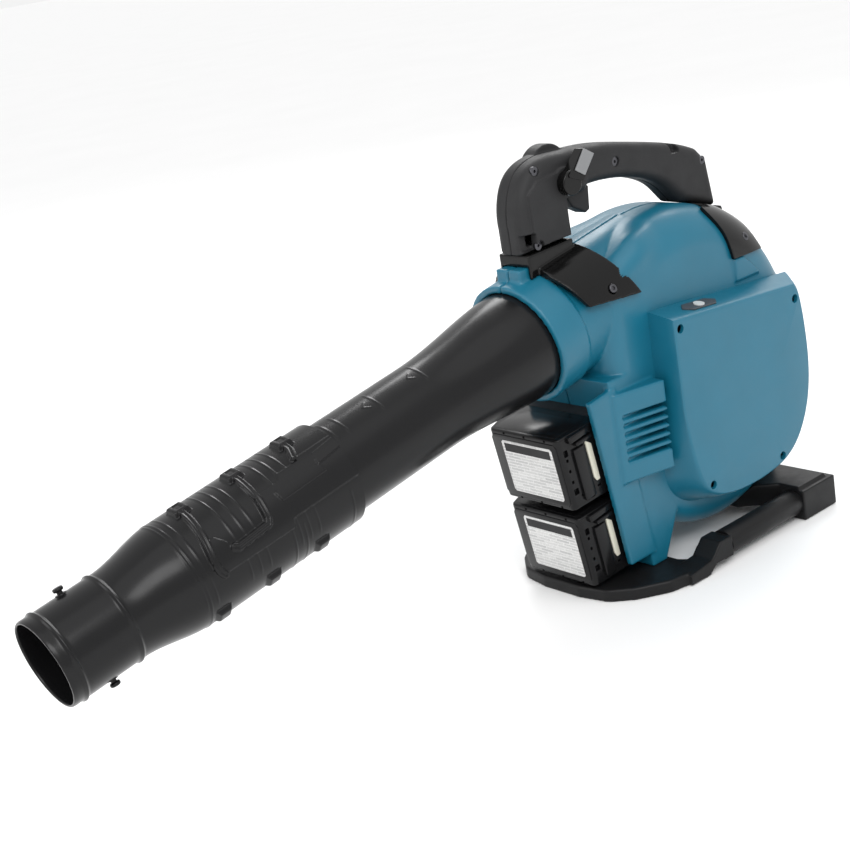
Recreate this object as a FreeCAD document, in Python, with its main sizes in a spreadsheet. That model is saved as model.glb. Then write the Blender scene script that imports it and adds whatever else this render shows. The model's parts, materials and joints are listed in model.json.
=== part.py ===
import FreeCAD
import Part

import math
import os

import Sketcher

Vector = FreeCAD.Vector
Rotation = FreeCAD.Rotation
Placement = FreeCAD.Placement

# Frame: X runs backward (the nozzle points to -X), Y to the machine's right, Z up.
# The origin lies on the underside of the base's front plate, on the middle plane.

os.makedirs("parts", exist_ok=True)
doc = FreeCAD.newDocument("blower")

# ---------------------------------------------------------------- driving dimensions

DIMENSIONS = [
    # air duct and nozzle; lengths along the duct are counted backward from the duct's root
    ("duct_tilt", 10.2, "slope of the duct, nose down, degrees"),
    ("root_x", -50.0, "duct root, centre"),
    ("root_z", 245.0, "duct root, height"),
    ("collar_radius", 56.5, "housing collar round the duct root"),
    ("duct_radius", 54.0, "outside of the housing's duct"),
    ("duct_length", 150.0, "housing duct, from the root to the scroll"),
    ("collar_front", 8.0, "collar in front of the root"),
    ("collar_length", 26.0, "collar length"),
    ("spigot_radius", 50.0, "rear pipe where it enters the collar"),
    ("spigot_depth", 16.0, "how far the rear pipe enters the collar"),
    ("pipe_radius", 40.0, "rear pipe, cylindrical stretch"),
    ("pipe_front", 282.0, "front end of the rear pipe"),
    ("pipe_flare", 105.0, "where the rear pipe starts to widen"),
    ("pipe_wall", 2.4, "wall of the pipes"),
    ("slide_gap", 0.35, "radial gap between the telescoping pipes"),
    ("sleeve_radius", 45.0, "front nozzle, sliding stretch"),
    ("sleeve_rear", 232.0, "rear rim of the front nozzle"),
    ("sleeve_shoulder", 384.0, "end of the sliding stretch"),
    ("nose_start", 438.0, "front cylinder of the nozzle"),
    ("nose_radius", 36.3, "front cylinder radius"),
    ("nozzle_tip", 503.8, "mouth of the nozzle"),
    ("bead_height", 1.6, "moulded bead rings"),
    ("bead_front", 493.1, "front bead ring"),
    ("bead_rear", 444.1, "rear bead ring"),
    ("track_first", 272.0, "rear bayonet track"),
    ("track_pitch", 50.0, "step between nozzle lengths"),
    ("track_width", 11.0, "width of a raised track"),
    ("track_height", 3.2, "height of a raised track"),
    ("hook_radius", 2.6, "attachment hook on the nose"),
    ("hook_height", 6.0, "attachment hook, height"),
    ("hook_place", 467.0, "attachment hook, place"),
    # scroll housing, seen from the side: arcs that grow from the bottom to the top
    ("fan_x", 120.0, "fan axis"),
    ("fan_z", 163.0, "fan axis"),
    ("scroll_top_radius", 158.0, "arc from the top to the rear"),
    ("scroll_rear_radius", 147.0, "arc from the rear to the bottom"),
    ("scroll_front_radius", 122.0, "arc from the bottom to the front"),
    ("scroll_rear", 270.0, "rearmost point"),
    ("scroll_top", 325.0, "top of the scroll"),
    ("housing_half", 57.0, "half width of the housing"),
    ("scroll_edge", 19.0, "rounding of the scroll's edges"),
    ("shell_wall", 3.0, "housing wall"),
    ("seam_gap", 0.1, "parting line between the two shells"),
    # battery bay; its plane leans, and pack sizes are given in the bay's own directions
    ("bay_tilt", 8.5, "lean of the bay, degrees"),
    ("bay_x", -69.8, "front top edge of the upper pack"),
    ("bay_z", 163.3, "front top edge of the upper pack"),
    ("pack_pitch", 79.8, "distance between the two packs"),
    ("pack_width", 75.0, "pack, across its rails"),
    ("pack_drop", 71.7, "pack, from its front top edge downward"),
    ("pack_depth", 49.6, "pack, from its label to the rail shoulder"),
    ("pack_near", 44.0, "pack, label side, half length"),
    ("pack_left", 50.0, "pack, rail side, left end"),
    ("pack_right", 58.0, "pack, rail side, right end"),
    ("rail_stem", 20.0, "half width of the rail's stem"),
    ("rail_head", 25.0, "half width of the rail's head"),
    ("rail_height", 10.4, "height of the rail"),
    ("rail_step", 5.4, "height of the rail's stem"),
    ("bay_depth", 64.0, "bay wall, from the label plane"),
    ("cheek_front", 37.0, "left cheek, from the label plane"),
    ("cheek_thick", 6.4, "left cheek, thickness"),
    # motor side
    ("cover_depth", 30.0, "motor cover, depth"),
    ("shaft_radius", 5.0, "rotor shaft"),
    ("stator_radius", 37.0, "stator, outside"),
    ("rotor_radius", 22.0, "rotor, outside"),
    ("air_gap", 0.6, "gap between rotor and stator"),
    ("bearing_radius", 11.0, "bearing, outside"),
    ("fan_radius", 98.0, "impeller radius"),
    ("fan_blades", 11.0, "number of blades"),
    ("fan_width", 46.0, "impeller blade width"),
    # inlet side
    ("inlet_radius", 62.0, "air inlet opening"),
    ("grille_radius", 90.0, "inlet grille, outside"),
    ("grille_depth", 34.0, "inlet grille, depth"),
    ("grille_wall", 3.0, "inlet grille, wall"),
    ("grille_gap", 0.5, "gap between grille and housing"),
    ("hinge_radius", 2.5, "hinge pin"),
    ("hinge_y", 67.0, "hinge pin, place"),
    ("hinge_x", 220.0, "hinge pin, place"),
    # handle
    ("handle_half", 18.0, "half width of the grip"),
    ("tower_half", 20.0, "half width of the tower"),
    ("handle_round", 10.0, "rounding of the handle"),
    ("tower_front", -48.0, "front of the tower"),
    ("tower_rear", 9.5, "rear of the tower"),
    ("tower_bottom", 322.0, "bottom of the tower"),
    ("handle_top", 396.0, "top of the grip at its front"),
    ("leg_bottom", 305.0, "bottom of the rear leg"),
    ("trigger_half", 8.0, "half width of the trigger"),
    ("lever_radius", 11.0, "hub of the cruise lever"),
    ("lever_x", 9.0, "cruise lever pivot"),
    ("lever_z", 373.0, "cruise lever pivot"),
    # base
    ("base_half", 100.0, "half width of the base"),
    ("plate_front", -49.5, "front of the base plate"),
    ("plate_rear", 46.0, "rear edge of the base plate"),
    ("plate_thick", 11.5, "base plate thickness"),
    ("bar_radius", 12.5, "side bar"),
    ("bar_y", 87.0, "side bar, distance from the middle plane"),
    ("bar_z", 16.5, "side bar height"),
    ("bar_front", 76.0, "front end of the side bar"),
    ("bar_rear", 186.0, "rear end of the side bar"),
    ("foot_rear", 236.0, "rear end of the base"),
    ("foot_top", 34.0, "top of the rear foot"),
    # fasteners
    ("screw_radius", 2.0, "screw shank"),
    ("screw_head", 4.0, "screw head"),
    ("screw_head_height", 2.6, "screw head height"),
]

sheet = doc.addObject("Spreadsheet::Sheet", "dims")
size = {}
for row, (alias, value, note) in enumerate(DIMENSIONS, start=1):
    sheet.set("A%d" % row, alias)
    sheet.set("B%d" % row, str(value))
    sheet.set("C%d" % row, note)
    sheet.setAlias("B%d" % row, alias)
    size[alias] = value
doc.recompute()

# ---------------------------------------------------------------- helpers


def bind(item, **expressions):
    """Ties properties of an object to expressions on the sheet."""
    for name, expression in expressions.items():
        item.setExpression(name.replace("__", "."), expression)


def body(name):
    item = doc.addObject("PartDesign::Body", name)
    item.Label = name
    return item


def origin_plane(owner, role):
    return next(item for item in owner.Origin.OriginFeatures if item.Role == role)


def sketch_on(owner, role, offset="0"):
    """A sketch on one of the body's own planes, moved along that plane's normal."""
    sketch = owner.newObject("Sketcher::SketchObject", owner.Name + "_sketch")
    sketch.AttachmentSupport = [(origin_plane(owner, role), "")]
    sketch.MapMode = "FlatFace"
    bind(sketch, AttachmentOffset__Base__z=offset)
    return sketch


def fix_point(sketch, edge, end, across, upward):
    """Holds one point of a sketch at two coordinates taken from the sheet."""
    for kind, expression in (("DistanceX", across), ("DistanceY", upward)):
        number = sketch.addConstraint(Sketcher.Constraint(kind, -1, 1, edge, end, 1.0))
        sketch.setExpression("Constraints[%d]" % number, expression)


def outline(sketch, corners):
    """A closed outline of straight edges whose corners are pairs of expressions."""
    count = len(corners)
    turn = 2 * math.pi / count
    start = [Vector(math.cos(turn * i), math.sin(turn * i), 0) for i in range(count)]
    edges = []
    for i in range(count):
        line = Part.LineSegment(start[i], start[(i + 1) % count])
        edges.append(sketch.addGeometry(line, False))
    for i in range(count):
        follower = edges[(i + 1) % count]
        sketch.addConstraint(Sketcher.Constraint("Coincident", edges[i], 2, follower, 1))
    for edge, (across, upward) in zip(edges, corners):
        fix_point(sketch, edge, 1, across, upward)


def ring(sketch, across, upward, *radii):
    """Concentric circles about one point."""
    for radius in radii:
        circle = Part.Circle(Vector(0, 0, 0), Vector(0, 0, 1), 1.0)
        edge = sketch.addGeometry(circle, False)
        fix_point(sketch, edge, 3, across, upward)
        number = sketch.addConstraint(Sketcher.Constraint("Radius", edge, 1.0))
        sketch.setExpression("Constraints[%d]" % number, radius)


def pad(owner, sketch, length, both_ways=False, reverse=False, draft=None):
    feature = owner.newObject("PartDesign::Pad", owner.Name + "_pad")
    feature.Profile = sketch
    bind(feature, Length=length)
    feature.Midplane = both_ways
    feature.Reversed = reverse
    if draft:
        bind(feature, TaperAngle=draft)
    doc.recompute()
    return feature


def pocket(owner, sketch, depth, both_ways=False, reverse=False):
    """Cuts a pocket, and stops the script if nothing was cut."""
    before = owner.Shape.Volume
    feature = owner.newObject("PartDesign::Pocket", owner.Name + "_pocket")
    feature.Profile = sketch
    bind(feature, Length=depth)
    feature.Midplane = both_ways
    feature.Reversed = reverse
    doc.recompute()
    if owner.Shape.Volume > before - 1e-3:
        raise RuntimeError("the pocket in %s cuts nothing" % owner.Label)
    return feature


def revolve(owner, sketch, axis="H_Axis", angle=360.0):
    feature = owner.newObject("PartDesign::Revolution", owner.Name + "_turn")
    feature.Profile = sketch
    feature.ReferenceAxis = (sketch, [axis])
    feature.Angle = angle
    doc.recompute()
    return feature


def edges_where(shape, test):
    return ["Edge%d" % (i + 1) for i, edge in enumerate(shape.Edges) if test(edge)]


def along(edge, direction):
    """True for a straight edge that runs along a direction."""
    if edge.Curve.TypeId != "Part::GeomLine":
        return False
    return abs(edge.Curve.Direction.dot(direction)) > 0.999


def soften(owner, kind, radius, test):
    """Fillets or chamfers the edges of the body's last feature that pass a test."""
    base = owner.Tip
    feature = owner.newObject("PartDesign::" + kind, owner.Name + "_" + kind.lower())
    feature.Base = (base, edges_where(base.Shape, test))
    if kind == "Fillet":
        bind(feature, Radius=radius)
    else:
        bind(feature, Size=radius)
    doc.recompute()
    return feature


def place(item, x="0", y="0", z="0", tilt=None):
    """Places a sub-part; a tilt turns it about Y by minus that angle."""
    item.Placement = Placement(Vector(0, 0, 0), Rotation(Vector(0, 1, 0), -10.0 if tilt else 0.0))
    bind(item, Placement__Base__x=x, Placement__Base__y=y, Placement__Base__z=z)
    if tilt:
        bind(item, Placement__Rotation__Angle="-" + tilt)


def on_duct(item):
    place(item, x="dims.root_x", z="dims.root_z", tilt="dims.duct_tilt")


def on_bay(item, number):
    """Places a sub-part of battery pack 0 (upper) or 1 (lower)."""
    slope = "sin(dims.bay_tilt * 1 deg)"
    rise = "cos(dims.bay_tilt * 1 deg)"
    place(
        item,
        x="dims.bay_x + %d * dims.pack_pitch * %s" % (number, slope),
        z="dims.bay_z - %d * dims.pack_pitch * %s" % (number, rise),
        tilt="dims.bay_tilt",
    )


def primitive(kind, name, at=(0, 0, 0), turn=None, **expressions):
    item = doc.addObject("Part::" + kind, name)
    item.Placement = Placement(Vector(*at), turn or Rotation())
    bind(item, **expressions)
    return item


def boolean(kind, name, base, tool):
    item = doc.addObject("Part::" + kind, name)
    item.Base = base
    item.Tool = tool
    item.Label = name
    return item


def joined(name, items):
    item = doc.addObject("Part::MultiFuse", name)
    item.Shapes = items
    item.Label = name
    return item


def shaped(name, shape, moved=None):
    """A sub-part whose shape comes from Part's own functions."""
    item = doc.addObject("Part::Feature", name)
    item.Label = name
    item.Shape = shape
    if moved:
        item.Placement = moved
    return item


SEAT_GAP = 0.3
TOWARD_LEFT = Rotation(Vector(1, 0, 0), 90)
TOWARD_RIGHT = Rotation(Vector(1, 0, 0), -90)
ALONG_DUCT = Rotation(Vector(0, 1, 0), 90)

nodes = []


def node(item):
    """Registers an object as a sub-part of the machine."""
    nodes.append(item)
    return item


# ---------------------------------------------------------------- pipes


def turned_profile(owner, corners):
    """A ring body: corners are (distance in front of the root, radius) expressions."""
    sketch = sketch_on(owner, "XY_Plane")
    outline(sketch, [("-(%s)" % forward, radius) for forward, radius in corners])
    return revolve(owner, sketch)


def make_rear_pipe():
    pipe = body("rear_pipe")
    turned_profile(pipe, [
        ("dims.pipe_front", "dims.pipe_radius"),
        ("dims.pipe_flare", "dims.pipe_radius"),
        ("dims.pipe_flare / 2", "dims.pipe_radius + 4.2"),
        ("dims.collar_front + 1", "dims.spigot_radius - 0.6"),
        ("-dims.spigot_depth", "dims.spigot_radius"),
        ("-dims.spigot_depth", "dims.spigot_radius - dims.pipe_wall"),
        ("dims.collar_front + 1", "dims.spigot_radius - 0.6 - dims.pipe_wall"),
        ("dims.pipe_flare / 2", "dims.pipe_radius + 4.2 - dims.pipe_wall"),
        ("dims.pipe_flare", "dims.pipe_radius - dims.pipe_wall"),
        ("dims.pipe_front", "dims.pipe_radius - dims.pipe_wall"),
    ])
    on_duct(pipe)
    return node(pipe)


def bead(place_name):
    """The four corners of a moulded bead ring, from the rear to the front."""
    return [
        ("dims.%s - 2.4" % place_name, "dims.nose_radius"),
        ("dims.%s - 1.3" % place_name, "dims.nose_radius + dims.bead_height"),
        ("dims.%s + 1.3" % place_name, "dims.nose_radius + dims.bead_height"),
        ("dims.%s + 2.4" % place_name, "dims.nose_radius"),
    ]


def make_front_nozzle():
    turned = body("front_nozzle_turned")
    bore = "dims.pipe_radius + dims.slide_gap"
    waist = "(dims.sleeve_shoulder + dims.nose_start) / 2"
    middle = "(dims.sleeve_radius + dims.nose_radius) / 2"
    turned_profile(turned, [
        ("dims.sleeve_rear", "dims.sleeve_radius"),
        ("dims.sleeve_shoulder", "dims.sleeve_radius"),
        ("dims.sleeve_shoulder + 12", "dims.sleeve_radius - 1.2"),
        (waist, middle),
        ("dims.nose_start - 12", "dims.nose_radius + 1"),
        ("dims.nose_start", "dims.nose_radius"),
        *bead("bead_rear"),
        *bead("bead_front"),
        ("dims.nozzle_tip", "dims.nose_radius - 0.5"),
        ("dims.nozzle_tip", "dims.nose_radius - dims.pipe_wall"),
        ("dims.nose_start", "dims.nose_radius - dims.pipe_wall"),
        (waist, middle + " - dims.pipe_wall"),
        ("dims.sleeve_shoulder + 2", bore),
        ("dims.sleeve_rear", bore),
    ])
    pieces = [turned]
    start_angle = 96.0
    spans = (26.0, 62.0, 76.0)
    for number, span in enumerate(spans):
        track = doc.addObject("Part::Cylinder", "track_%d" % number)
        bind(track, Radius="dims.sleeve_radius + dims.track_height", Height="dims.track_width")
        track.Angle = span
        # the cylinder's own axis runs backward along the duct, its start angle counted from +Y
        track.Placement = Placement(Vector(0, 0, 0), duct_turn(start_angle))
        bind(track, Placement__Base__x="-(dims.track_first + %d * dims.track_pitch) - dims.track_width / 2"
             % number)
        pieces.append(track)
    plateau = doc.addObject("Part::Cylinder", "track_plateau")
    bind(plateau, Radius="dims.sleeve_radius + dims.track_height / 2",
         Height="2 * dims.track_pitch")
    plateau.Angle = 14.0
    plateau.Placement = Placement(Vector(0, 0, 0), duct_turn(158.0))
    bind(plateau, Placement__Base__x="-(dims.track_first + 2 * dims.track_pitch)")
    pieces.append(plateau)
    hooks = []
    for number, angle in enumerate((72.0, 252.0)):
        hook = doc.addObject("Part::Cylinder", "hook_%d" % number)
        bind(hook, Radius="dims.hook_radius", Height="dims.nose_radius + dims.hook_height")
        outward = Vector(0, math.cos(math.radians(angle)), math.sin(math.radians(angle)))
        hook.Placement = Placement(Vector(0, 0, 0), Rotation(Vector(0, 0, 1), outward))
        bind(hook, Placement__Base__x="-dims.hook_place")
        hooks.append(hook)
    outer = joined("front_nozzle_outer", pieces + hooks)
    bore_tool = body("front_nozzle_bore")
    turned_profile(bore_tool, [
        ("dims.sleeve_rear - 20", "0"),
        ("dims.sleeve_rear - 20", bore),
        ("dims.sleeve_shoulder + 2", bore),
        (waist, middle + " - dims.pipe_wall"),
        ("dims.nose_start", "dims.nose_radius - dims.pipe_wall"),
        ("dims.nozzle_tip + 5", "dims.nose_radius - dims.pipe_wall"),
        ("dims.nozzle_tip + 5", "0"),
    ])
    nozzle = boolean("Cut", "front_nozzle", outer, bore_tool)
    on_duct(nozzle)
    return node(nozzle)


def duct_turn(angle):
    """Turns a cylinder so its axis is +X and its start angle is counted from +Y toward +Z."""
    return Rotation(Vector(1, 0, 0), angle).multiply(Rotation(Vector(1, 1, 1), 120))


# ---------------------------------------------------------------- shapes shared by the shells


def prism(corners, low, high, across=Vector(0, 1, 0)):
    """A side-view outline (x, z) given a width from y = low to y = high."""
    points = [Vector(x, low, z) for x, z in corners]
    face = Part.Face(Part.makePolygon(points + points[:1]))
    return face.extrude(across * (high - low))


def box(low, high):
    low = Vector(*low)
    span = Vector(*high) - low
    return Part.makeBox(span.x, span.y, span.z, low)


def rounded(shape, radius, test):
    return shape.makeFillet(radius, [edge for edge in shape.Edges if test(edge)])


def rod(radius, start, end):
    start = Vector(*start)
    reach = Vector(*end) - start
    return Part.makeCylinder(radius, reach.Length, start, reach)


def scroll(inset=0.0, low=None, high=None):
    """The scroll's solid, made smaller by inset; low and high limit its width."""
    top_radius = size["scroll_top_radius"] - inset
    rear_radius = size["scroll_rear_radius"] - inset
    front_radius = size["scroll_front_radius"] - inset
    top_x = size["scroll_rear"] - size["scroll_top_radius"]
    level = size["scroll_top"] - size["scroll_top_radius"]
    low_x = size["scroll_rear"] - size["scroll_rear_radius"]
    low_level = level - size["scroll_rear_radius"] + size["scroll_front_radius"]
    half = size["housing_half"] - inset
    low = -half if low is None else low
    high = half if high is None else high

    def at(x, z, radius, degrees):
        turn = math.radians(degrees)
        return Vector(x + radius * math.cos(turn), low, z + radius * math.sin(turn))

    shoulder = Vector(low_x - front_radius, low, size["root_z"] + 42 - inset)
    reach = math.hypot(shoulder.x - top_x, shoulder.z - level)
    bearing = math.degrees(math.atan2(shoulder.z - level, shoulder.x - top_x))
    tangent = bearing - math.degrees(math.acos(top_radius / reach))
    arcs = [
        Part.Arc(*[at(top_x, level, top_radius, a) for a in (tangent, 45, 0)]),
        Part.Arc(*[at(low_x, level, rear_radius, a) for a in (0, -45, -90)]),
        Part.Arc(*[at(low_x, low_level, front_radius, a) for a in (-90, -135, -180)]),
    ]
    lines = [
        Part.LineSegment(at(low_x, low_level, front_radius, 180), shoulder),
        Part.LineSegment(shoulder, at(top_x, level, top_radius, tangent)),
    ]
    wire = Part.Wire([edge.toShape() for edge in arcs + lines])
    solid = Part.Face(wire).extrude(Vector(0, high - low, 0))
    radius = size["scroll_edge"] - inset

    def on_rim(edge):
        middle = edge.CenterOfMass
        flat = edge.BoundBox.YLength < 1e-6
        limited = (low > -half + 1e-6, high < half - 1e-6)
        near_low = abs(middle.y - low) < 1e-6 and not limited[0]
        near_high = abs(middle.y - high) < 1e-6 and not limited[1]
        return flat and (near_low or near_high)

    return rounded(solid, radius, on_rim)


def duct(radius, start, end):
    """A cylinder on the duct's axis; start and end are counted backward from the root."""
    tilt = math.radians(size["duct_tilt"])
    direction = Vector(math.cos(tilt), 0, math.sin(tilt))
    root = Vector(size["root_x"], 0, size["root_z"])
    return Part.makeCylinder(radius, end - start, root + direction * start, direction)


def bay_point(depth, drop):
    """Side-view place of a point given by the bay's own directions."""
    tilt = math.radians(size["bay_tilt"])
    x = size["bay_x"] + depth * math.cos(tilt) + drop * math.sin(tilt)
    z = size["bay_z"] + depth * math.sin(tilt) - drop * math.cos(tilt)
    return x, z


# ---------------------------------------------------------------- housing shells


def bay_outline(inset):
    wall = size["bay_depth"] + inset
    floor_level = size["plate_thick"] + inset
    lower = bay_point(wall, 150 - inset)
    upper = bay_point(wall, -28 + inset)
    rear_foot = 36 - inset
    return [
        upper,
        lower,
        (lower[0] + 1, floor_level),
        (rear_foot, floor_level),
        (62 - inset, 62),
        (62 - inset, upper[1]),
    ]


def housing_body():
    half = size["housing_half"]
    wall = size["shell_wall"]
    cheek = [
        bay_point(size["cheek_front"], -20),
        bay_point(size["cheek_front"], 146),
        bay_point(size["bay_depth"] + 6, 150),
        bay_point(size["bay_depth"] + 6, -20),
    ]
    rear_pad = [(160, 34), (221, 34), (233, 78), (205, 110), (150, 62)]
    louvre_base = [(-12, -half + 1), (-9, -half - 4), (43.5, -half - 17), (45.4, -half + 1)]
    louvre_points = [Vector(x, y, 104) for x, y in louvre_base]
    louvre = Part.Face(Part.makePolygon(louvre_points + louvre_points[:1]))
    block = prism(bay_outline(0), -half, half)
    outer = scroll().multiFuse([
        duct(size["duct_radius"], -2, size["duct_length"]),
        duct(size["collar_radius"], -size["collar_front"], size["collar_length"]),
        rounded(block, 6, lambda e: along(e, Vector(0, 0, 1)) and e.CenterOfMass.x > 50),
        prism(cheek, -half - 1, -half - 1 + size["cheek_thick"]),
        prism(rear_pad, -40, 40),
        louvre.extrude(Vector(0, 0, 84)),
        box((172, -half - 3, 241), (222, -20, 262)),
        cover_prism(COVER_BASE, -half, -half + 14),
        box((-56, -15, 290), (-28, 15, 311)),
    ])
    chamber = scroll(wall)
    bay_room = prism(bay_outline(wall), -half + wall, half - wall).cut(scroll())
    bay_room = bay_room.cut(duct(size["duct_radius"], -20, size["duct_length"]))
    duct_end = size["duct_length"] - 10
    inner = chamber.multiFuse([
        duct(size["spigot_radius"] + 0.15, -20, size["spigot_depth"] + 0.3),
        duct(size["duct_radius"] - wall, size["spigot_depth"], duct_end),
    ])
    shell = outer.cut(inner).cut(bay_room)
    slots = [box((-3, -90, 123 + 8 * i), (44, -half - 2.5, 127 + 8 * i)) for i in range(6)]
    fan_x = size["fan_x"]
    fan_z = size["fan_z"]
    motor_hole = rod(52, (fan_x, -half - 5, fan_z), (fan_x, -half + 8, fan_z))
    inlet_hole = rod(size["inlet_radius"], (fan_x, half - 8, fan_z), (fan_x, half + 5, fan_z))
    screw_holes = saddle_screw_holes(size["screw_radius"] + 0.2, -20, 20)
    return shell.cut(slots + screw_holes + [motor_hole, inlet_hole])


def make_housing():
    whole = housing_body()
    reach = 700
    gap = size["seam_gap"] / 2
    left_side = box((-reach, -reach, -reach), (reach, -gap, reach))
    right_side = box((-reach, gap, -reach), (reach, reach, reach))
    hinge_ears = []
    for low in (size["fan_z"] - 30, size["fan_z"] + 18):
        ear = rod(6, (size["hinge_x"], size["hinge_y"], low), (size["hinge_x"], size["hinge_y"], low + 12))
        web = box((size["hinge_x"] - 4, 50, low), (size["hinge_x"] + 4, size["hinge_y"], low + 12))
        pin = rod(size["hinge_radius"], (size["hinge_x"], size["hinge_y"], low - 1),
                  (size["hinge_x"], size["hinge_y"], low + 13))
        hinge_ears.append(ear.fuse(web).cut(scroll(1.0)).cut(pin))
    right = whole.common(right_side).multiFuse(hinge_ears)
    node(shaped("left_housing", whole.common(left_side)))
    node(shaped("right_housing", right))


# ---------------------------------------------------------------- motor cover


# corners of the cover, (x, z) offsets from the fan axis: where it meets the housing, and its face
COVER_BASE = [
    (-70, 84), (126, 67), (134, 59), (139, 32), (142, 2), (142, -23), (137, -51), (125, -77), (106, -97),
    (80, -108), (50, -114), (15, -117), (-20, -115), (-53, -106), (-73, -85), (-74, -53), (-71, -16),
]
COVER_FACE = [
    (-70.5, 79), (101, 64), (106, 56), (110, 32), (112, 5), (112, -21), (108, -46), (99, -69), (84, -89),
    (64, -101), (36, -106), (10, -107), (-16, -105), (-38, -99), (-54, -87), (-64, -55), (-70, -11),
]
COVER_SCREWS = [(57.5, 232), (77, 76), (179, 68), (219, 213)]
COVER_ROOM = [
    (-64, 74), (94, 60), (103, 30), (106, 0), (105, -24), (101, -48), (92, -70), (77, -86),
    (56, -97), (10, -101), (-34, -94), (-48, -82), (-57, -53), (-64, -11),
]
BOSS_RADIUS = 9.0


def beside_fan(corners):
    """Expressions for corners that are given as offsets from the fan axis."""
    return [("dims.fan_x + (%g)" % x, "dims.fan_z + (%g)" % z) for x, z in corners]


def cover_prism(corners, low, high):
    """A straight prism over corners that are given as offsets from the fan axis."""
    return prism([(size["fan_x"] + x, size["fan_z"] + z) for x, z in corners], low, high)


def cover_top_frame():
    """Middle of the power switch on the cover's top face, and that face's outward normal."""
    half = size["housing_half"]
    fan = Vector(size["fan_x"], -half, size["fan_z"])
    front = fan + Vector(COVER_BASE[0][0], 0, COVER_BASE[0][1])
    rear = fan + Vector(COVER_BASE[1][0], 0, COVER_BASE[1][1])
    edge = fan + Vector(COVER_FACE[0][0], -size["cover_depth"], COVER_FACE[0][1])
    backward = (rear - front).normalize()
    normal = (edge - front).cross(backward).normalize()
    if normal.z < 0:
        normal = -normal
    return front + backward * 52 + (edge - front) * 0.5, normal


def make_motor_cover():
    shell = body("motor_cover_shell")
    base = sketch_on(shell, "XZ_Plane", "dims.housing_half")
    outline(base, beside_fan(COVER_BASE))
    face = sketch_on(shell, "XZ_Plane", "dims.housing_half + dims.cover_depth")
    outline(face, beside_fan(COVER_FACE))
    doc.recompute()
    loft = shell.newObject("PartDesign::AdditiveLoft", "cover_loft")
    loft.Profile = base
    loft.Sections = [face]
    loft.Ruled = True
    doc.recompute()
    soften(shell, "Chamfer", "1.6", lambda e: e.CenterOfMass.y < -size["housing_half"] - 28)
    half = size["housing_half"]
    room = cover_prism(COVER_FACE, -half + 3 - size["cover_depth"], -half)
    room = room.common(cover_prism(COVER_ROOM, -half - size["cover_depth"], -half))
    bosses = []
    for x, z in COVER_SCREWS:
        bosses.append(rod(BOSS_RADIUS, (x, -half - size["cover_depth"], z), (x, -half, z)))
    middle, normal = cover_top_frame()
    facing = Rotation(Vector(0, 0, 1), normal)
    switch_room = Part.makeBox(18, 16, 14, Vector(-9, -8, -20))
    switch_room.Placement = Placement(middle, facing)
    solid = shell.Shape.cut([room.cut(bosses), switch_room])
    solid = solid.cut(rod(5.6, middle + normal * 5, middle - normal * 13))
    for x, z in COVER_SCREWS:
        solid = solid.cut(rod(size["screw_head"] + 0.4, (x, -95, z), (x, -size["housing_half"] - 22, z)))
        solid = solid.cut(rod(size["screw_radius"] + 0.2, (x, -95, z), (x, -50, z)))
    node(shaped("motor_cover", solid))


def make_power_switch():
    middle, normal = cover_top_frame()
    facing = Rotation(Vector(0, 0, 1), normal)
    plate = body("power_plate")
    face = sketch_on(plate, "XY_Plane")
    outline(face, [("23", "0"), ("15", "8"), ("-15", "8"), ("-23", "0"), ("-15", "-8"), ("15", "-8")])
    ring(face, "0", "0", "5.6")
    pad(plate, face, "1.2")
    plate.Placement = Placement(middle + normal * 0.05, facing)
    node(plate)
    button = doc.addObject("Part::Cylinder", "power_button")
    bind(button, Radius="5.2", Height="7")
    button.Placement = Placement(middle - normal * 5, facing)
    node(button)
    switch = doc.addObject("Part::Box", "power_switch")
    bind(switch, Length="14", Width="12", Height="5")
    corner = middle - normal * 12 - facing.multVec(Vector(7, 6, 0))
    switch.Placement = Placement(corner, facing)
    node(switch)


# ---------------------------------------------------------------- motor and fan


def turned_about_fan(name, corners):
    """A body of revolution on the fan axis: corners are (y, radius) expressions."""
    item = body(name)
    sketch = sketch_on(item, "XY_Plane")
    outline(sketch, [(radius, along_axis) for along_axis, radius in corners])
    revolve(item, sketch, "V_Axis")
    place(item, x="dims.fan_x", z="dims.fan_z")
    return item


def band(low, high, inner, outer):
    return [(low, inner), (low, outer), (high, outer), (high, inner)]


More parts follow.
